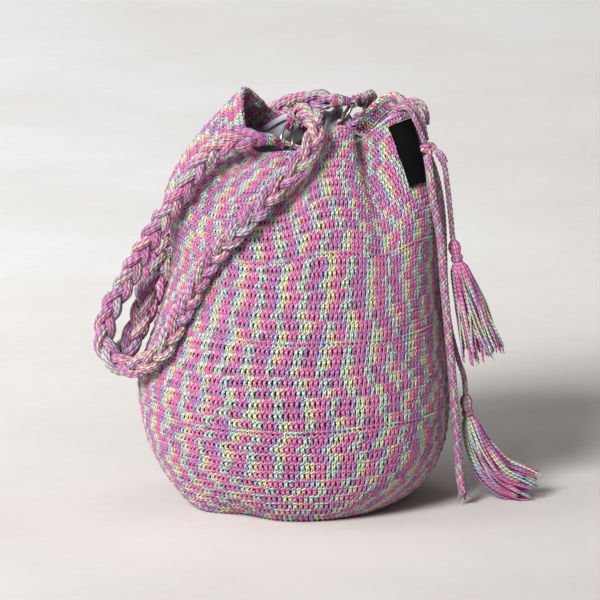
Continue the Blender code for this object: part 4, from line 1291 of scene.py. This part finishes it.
def stitches(yarn, rows, sizes, inside=False):
    """The stitches of some rounds, as open half tubes that lie on the wall."""
    rng = np.random.default_rng(31)
    for low, high, count, single, place, number in rows:
        index = np.arange(count)
        wide = 2 * math.pi / count
        centre = -index * wide + 0.12 * number * wide
        gauge = round_length((low + high) / 2) / count / sizes.stitch_width
        thick = sizes.yarn_radius * min(1.0, 0.8 + 0.2 * gauge)
        even, turns = even_turns((low + high) / 2)
        wander = np.cumsum(rng.normal(0, 0.017, count)) + rng.normal(0, 0.015, count)
        use = SINGLE_YARN_USE if single else 1.0
        phase = place + (index * use) / sizes.repeat + wander
        slope = rng.normal(0, 0.03, (count, 2))
        rise = rng.normal(0, 0.02, count)
        parts = SINGLE_CROCHET if single else DOUBLE_CROCHET
        for template, later in parts[:2] + parts[3:] if inside else parts:
            shape = np.array(template)
            sag = 1 + rng.normal(0, 0.10, (count, 1))
            x = shape[:, 0] + slope[:, :1] + slope[:, 1:] * (shape[:, 1] - 0.5)
            x = x + rng.normal(0, 0.035, x.shape)
            y = shape[:, 1] + rise[:, None] + rng.normal(0, 0.012, x.shape)
            along = centre[:, None] + x * wide
            whole = np.floor(along / (2 * math.pi)) * 2 * math.pi
            angles = np.interp(along - whole, even, turns) + whole
            levels = low + y * (high - low)
            levels = np.minimum(round_levels(angles, levels + wave(angles, levels)), RIM_HEIGHT + 0.002)
            lift = shape[:, 2] * 0.001 * sag - 0.0006
            if inside:
                lift = -SHELL_THICKNESS - lift
            paths = off_wall(angles, levels, lift)
            normals = wall_normals(angles, levels)
            if high <= 0:
                paths[..., 2] = thick + (0.0012 - lift)
                normals = np.broadcast_to(np.array((0.0, 0.0, -1.0)), paths.shape)
            if inside:
                normals = -normals
            size = thick * (1 + rng.normal(0, 0.07, (count, 1)))
            phases = (phase + later * use / sizes.repeat)[:, None]
            own = rng.uniform(0, 1, count)
            yarn.add(paths, size, phases, 3, normals=normals, spread=112, own=own, pitch=0.0052)


class BAG_OT_wall(bpy.types.Operator):
    """The crocheted wall: rounds of double crochet with raised single crochet rounds"""

    bl_idname = "bucket_bag.wall"
    bl_label = "Crocheted wall"

    def execute(self, context):
        sizes, colours = sizes_of(context), colours_of(context)
        material = yarn_material("crochet_yarn", colours)
        rounds = rounds_of(sizes)
        worn(self.painted_shade_backing(colours), BAG, "bag_body", slot="crochet_shell")
        for name, low, high in CROCHET_BANDS:
            yarn = Yarn()
            stitches(yarn, [r for r in rounds if low <= r[0] < high], sizes)
            yarn.worn(name, material, slot="crochet_shell")
        yarn = Yarn()
        stitches(yarn, [r for r in rounds if r[1] > LINING_TOP], sizes, inside=True)
        yarn.worn("crochet_mouth_inside", material, slot="crochet_shell")
        yarn = Yarn()
        edge = wall_round(np.linspace(0, 2 * math.pi, 420), RIM_HEIGHT, -SHELL_THICKNESS / 2) + (0, 0, 0.0004)
        twisted(yarn, edge, RIM_EDGE_RADIUS, 3, sizes, np.random.default_rng(3), lay=0.011)
        yarn.worn("crochet_rim_edge", material, slot="crochet_shell")
        return {"FINISHED"}

    def painted_shade_backing(self, colours):
        """A dark sheet deep in the wall, seen between the stitches; its colour is painted shade."""
        turns = np.linspace(-math.pi, math.pi, 217)[:-1]
        base, up = np.linspace(-0.089, -0.001, 8), np.linspace(0.001, RIM_HEIGHT, 70)
        rows = [wall_round(turns, level, -BACKING_DEPTH) for level in (*base, *up)]
        for row in rows[: len(base)]:
            row[:, 2] = BACKING_BASE_HEIGHT
        for level in np.linspace(RIM_HEIGHT, BACKING_INSIDE_END, 8):
            rows.append(wall_round(turns, level, 0.0016 - SHELL_THICKNESS))
        look = Look("crochet_depth")
        knots = look.noise(330.0, 3.0, 0.6)
        # painted shade: plum and lavender darkened to a few per cent stand for the shade in the holes between the
        # stitches
        deep, lighter_painted_shade = darker(colours.plum, 0.07), darker(colours.lavender, 0.12)
        tone = look.ramp(knots, (0.35, deep), (0.65, lighter_painted_shade))
        material = look.done(Base_Color=tone, Normal=look.bumped(knots, 0.8, 0.001), Roughness=0.95)
        faces = grid_faces(len(rows), len(turns), True)
        return made_mesh("crochet_backing", np.concatenate(rows), faces, material)


# ---- Lining and label ----


class BAG_OT_lining(bpy.types.Operator):
    """The cloth lining, sewn to the wall under the rim"""

    bl_idname = "bucket_bag.lining"
    bl_label = "Lining"

    def execute(self, context):
        turns = np.linspace(-math.pi, math.pi, LINING_COLUMNS + 1)[:-1]
        rows = []
        for level in (*np.linspace(-0.088, -0.004, 12), *np.linspace(0.004, LINING_TOP, 46)):
            up = max(level, 0) / LINING_TOP
            fold = 0.0011 * up * np.sin(turns * 41 + 6 * np.sin(level * 31 + turns * 3))
            fold = fold + 0.0008 * up * np.sin(turns * 67 + level * 150)
            bulge = near(np.degrees(turns) % 360, BULGE_ANGLE, BULGE_REACH)
            bulge = near(level, BULGE_LEVEL, BULGE_RISE) * bulge
            depth = LINING_OFFSET - np.abs(fold) - BULGE_DEPTH * bulge * bulge * (3 - 2 * bulge)
            rows.append(off_wall(turns, np.full_like(turns, level), depth))
            if level < 0:
                rows[-1][:, 2] = LINING_BASE_HEIGHT
        puff = self.puff(turns)
        for share in np.linspace(0.08, 1, 12):
            levels = LINING_TOP + PUFF_LEVELS * share * puff
            depth = LINING_OFFSET - 0.0050 * np.clip(share * 3, 0, 1) * puff
            depth = depth - 0.0016 * share * puff * np.sin(turns * 23 + 5 * share)
            rows.append(off_wall(turns, levels, depth))
            rows[-1][:, 2] += PUFF_RISE * share * share * puff + 0.0012 * share * puff * np.sin(turns * 31)
        top = rows[-1]
        inward = unit((top - off_wall(turns, levels, depth + 0.002)) * (1, 1, 0))
        for share in np.linspace(0, 1, 7)[1:]:
            rows.append(top + inward * (0.0008 + 0.0006 * math.sin(math.pi * share)))
            rows[-1][:, 2] -= HEM_WIDTH * share
        faces = grid_faces(len(rows), LINING_COLUMNS, True)
        piece = made_mesh("lining_cloth", np.concatenate(rows), faces, self.cloth(colours_of(context)))
        worn(piece, BAG, "lining", slot="lining_cloth")
        measured = sum(p.area for p in piece.data.polygons)
        thickness = piece.modifiers.new("cloth_thickness", "SOLIDIFY")
        thickness.thickness = LINING_THICKNESS
        thickness.offset = 0
        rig.sheet(piece, flat=(0.98, 0.48), held="gathered", rests_on=["bag_body"], area=min(measured, 0.46))
        return {"FINISHED"}

    def puff(self, turns):
        """How far the cloth is pushed up out of the mouth, from none to full, round the bag."""
        degrees = np.degrees(turns) % 360
        return eased(np.clip((degrees - 36) / 26, 0, 1) * np.clip((150 - degrees) / 30, 0, 1))

    def cloth(self, colours):
        """Fine woven cloth, a little darker in patches."""
        look = Look("lining_cloth")
        spots = look.place()
        waves = [look.node("TexWave", bands_direction=direction) for direction in ("X", "Z")]
        for wave_node in waves:
            for name, value in (("Scale", 420.0), ("Distortion", 0.6), ("Vector", spots)):
                look.feed(wave_node.inputs[name], value)
        weave = look.maths("MULTIPLY", *(wave_node.outputs["Fac"] for wave_node in waves))
        tone = look.noise(40.0, 3.0)
        return look.done(
            Base_Color=look.ramp(tone, (0.3, darker(colours.lining, 0.78)), (0.7, colours.lining)),
            Normal=look.bumped(weave, 0.35, 0.0003),
            Roughness=0.6,
            Sheen_Weight=0.3,
        )


def label_point(right, up, lift):
    """A point of the label, measured over the wall from the label's middle."""
    step = 1e-3
    middle = math.radians(LABEL_ANGLE)
    rise = wall(middle, LABEL_LEVEL + step) - wall(middle, LABEL_LEVEL - step)
    level = np.minimum(LABEL_LEVEL + up * 2 * step / np.linalg.norm(rise), RIM_HEIGHT - step)
    turn = wall(middle + step, level) - wall(middle - step, level)
    return off_wall(middle + right * 2 * step / np.linalg.norm(turn, axis=-1), level, lift)


class BAG_OT_label(bpy.types.Operator):
    """The plain woven label sewn on the front right fold"""

    bl_idname = "bucket_bag.label"
    bl_label = "Label"

    def execute(self, context):
        across, down = LABEL_GRID
        turn = math.radians(LABEL_TURN)
        x, y = np.meshgrid(np.linspace(-0.5, 0.5, across), np.linspace(0.5, -0.5, down))
        right = x * LABEL_WIDTH * math.cos(turn) - y * LABEL_HEIGHT * math.sin(turn)
        up = x * LABEL_WIDTH * math.sin(turn) + y * LABEL_HEIGHT * math.cos(turn)
        edge = np.minimum(0.5 - np.abs(x), (0.5 - np.abs(y)) * LABEL_HEIGHT / LABEL_WIDTH)
        curl = 0.0006 * np.clip(1 - edge / 0.12, 0, 1) ** 2
        lift = LABEL_LIFT + 0.0005 * np.sin(y * 9) * (1 - 2 * np.abs(x)) + curl
        front, back = (label_point(right, up, height) for height in (lift, lift - LABEL_THICKNESS))
        points = np.concatenate([front.reshape(-1, 3), back.reshape(-1, 3)])
        top = grid_faces(down, across, False)
        under = top[:, ::-1] + across * down
        border = (
            np.arange(across),
            np.arange(1, down) * across + across - 1,
            (down - 1) * across + np.arange(across - 2, -1, -1),
            np.arange(down - 2, 0, -1) * across,
        )
        border = np.concatenate(border)
        after = np.roll(border, -1)
        sides = np.stack([border, border + across * down, after + across * down, after], axis=-1)
        faces = np.concatenate([top[:, ::-1], under[:, ::-1], sides])
        values = np.stack([x, y, np.zeros_like(x)], axis=-1).reshape(-1, 3)
        values = np.concatenate([values, values])[faces].reshape(-1, 3)
        piece = made_mesh("label_ribbon", points, faces, self.ribbon(colours_of(context)), values)
        worn(piece, BAG, "label", slot="label_cloth")
        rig.sheet(piece, flat=(LABEL_WIDTH, LABEL_HEIGHT), held="stretched", rests_on=["bag_body"])
        return {"FINISHED"}

    def ribbon(self, colours):
        """Black ribbon in a fine ribbed weave."""
        look = Look("label_ribbon")
        x, y, _ = look.corner_values()
        ribs, warp = (look.maths("SINE", look.maths("MULTIPLY", *each)) for each in ((y, 900.0), (x, 420.0)))
        weave = look.maths("MULTIPLY", ribs, warp)
        # painted highlight: the weave's raised ribs are made lighter than the hollows between them
        return look.done(
            Base_Color=look.ramp(weave, (0.1, colours.label), (0.9, darker(colours.label, 2.0))),
            Normal=look.bumped(weave, 0.5, 0.0003),
            Roughness=0.7,
            Specular_IOR_Level=0.08,
        )


class BAG_PT_panel(bpy.types.Panel):
    """Lists the bag's pieces and what can be changed"""

    bl_idname = "BAG_PT_panel"
    bl_label = "Bucket Bag"
    bl_space_type = "VIEW_3D"
    bl_region_type = "UI"
    bl_category = "Bucket Bag"

    def draw(self, context):
        for operator in OPERATORS:
            self.layout.operator(operator.bl_idname)
        for group in (sizes_of(context), colours_of(context)):
            box = self.layout.box()
            for name in group.__annotations__:
                box.prop(group, name)


OPERATORS = (
    BAG_OT_stage,
    BAG_OT_tassels,
    BAG_OT_cords,
    BAG_OT_handles,
    BAG_OT_rings,
    BAG_OT_wall,
    BAG_OT_lining,
    BAG_OT_label,
)
CLASSES = (YarnColours, BagSizes, *OPERATORS, BAG_PT_panel)


def register():
    for each in CLASSES:
        bpy.utils.register_class(each)
    bpy.types.Scene.bag_colours = bpy.props.PointerProperty(type=YarnColours)
    bpy.types.Scene.bag_sizes = bpy.props.PointerProperty(type=BagSizes)


def unregister():
    del bpy.types.Scene.bag_sizes
    del bpy.types.Scene.bag_colours
    for each in reversed(CLASSES):
        bpy.utils.unregister_class(each)


def main():
    register()
    for operator in OPERATORS:
        group, name = operator.bl_idname.split(".")
        if getattr(getattr(bpy.ops, group), name)() != {"FINISHED"}:
            raise RuntimeError(operator.bl_label + " was not made")
    sizes = {"cad": CAD_BOX, "visual": [list(corner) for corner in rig.bounds()]}
    with open("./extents.json", "w") as out:
        json.dump(sizes, out)


if __name__ == "__main__":
    main()
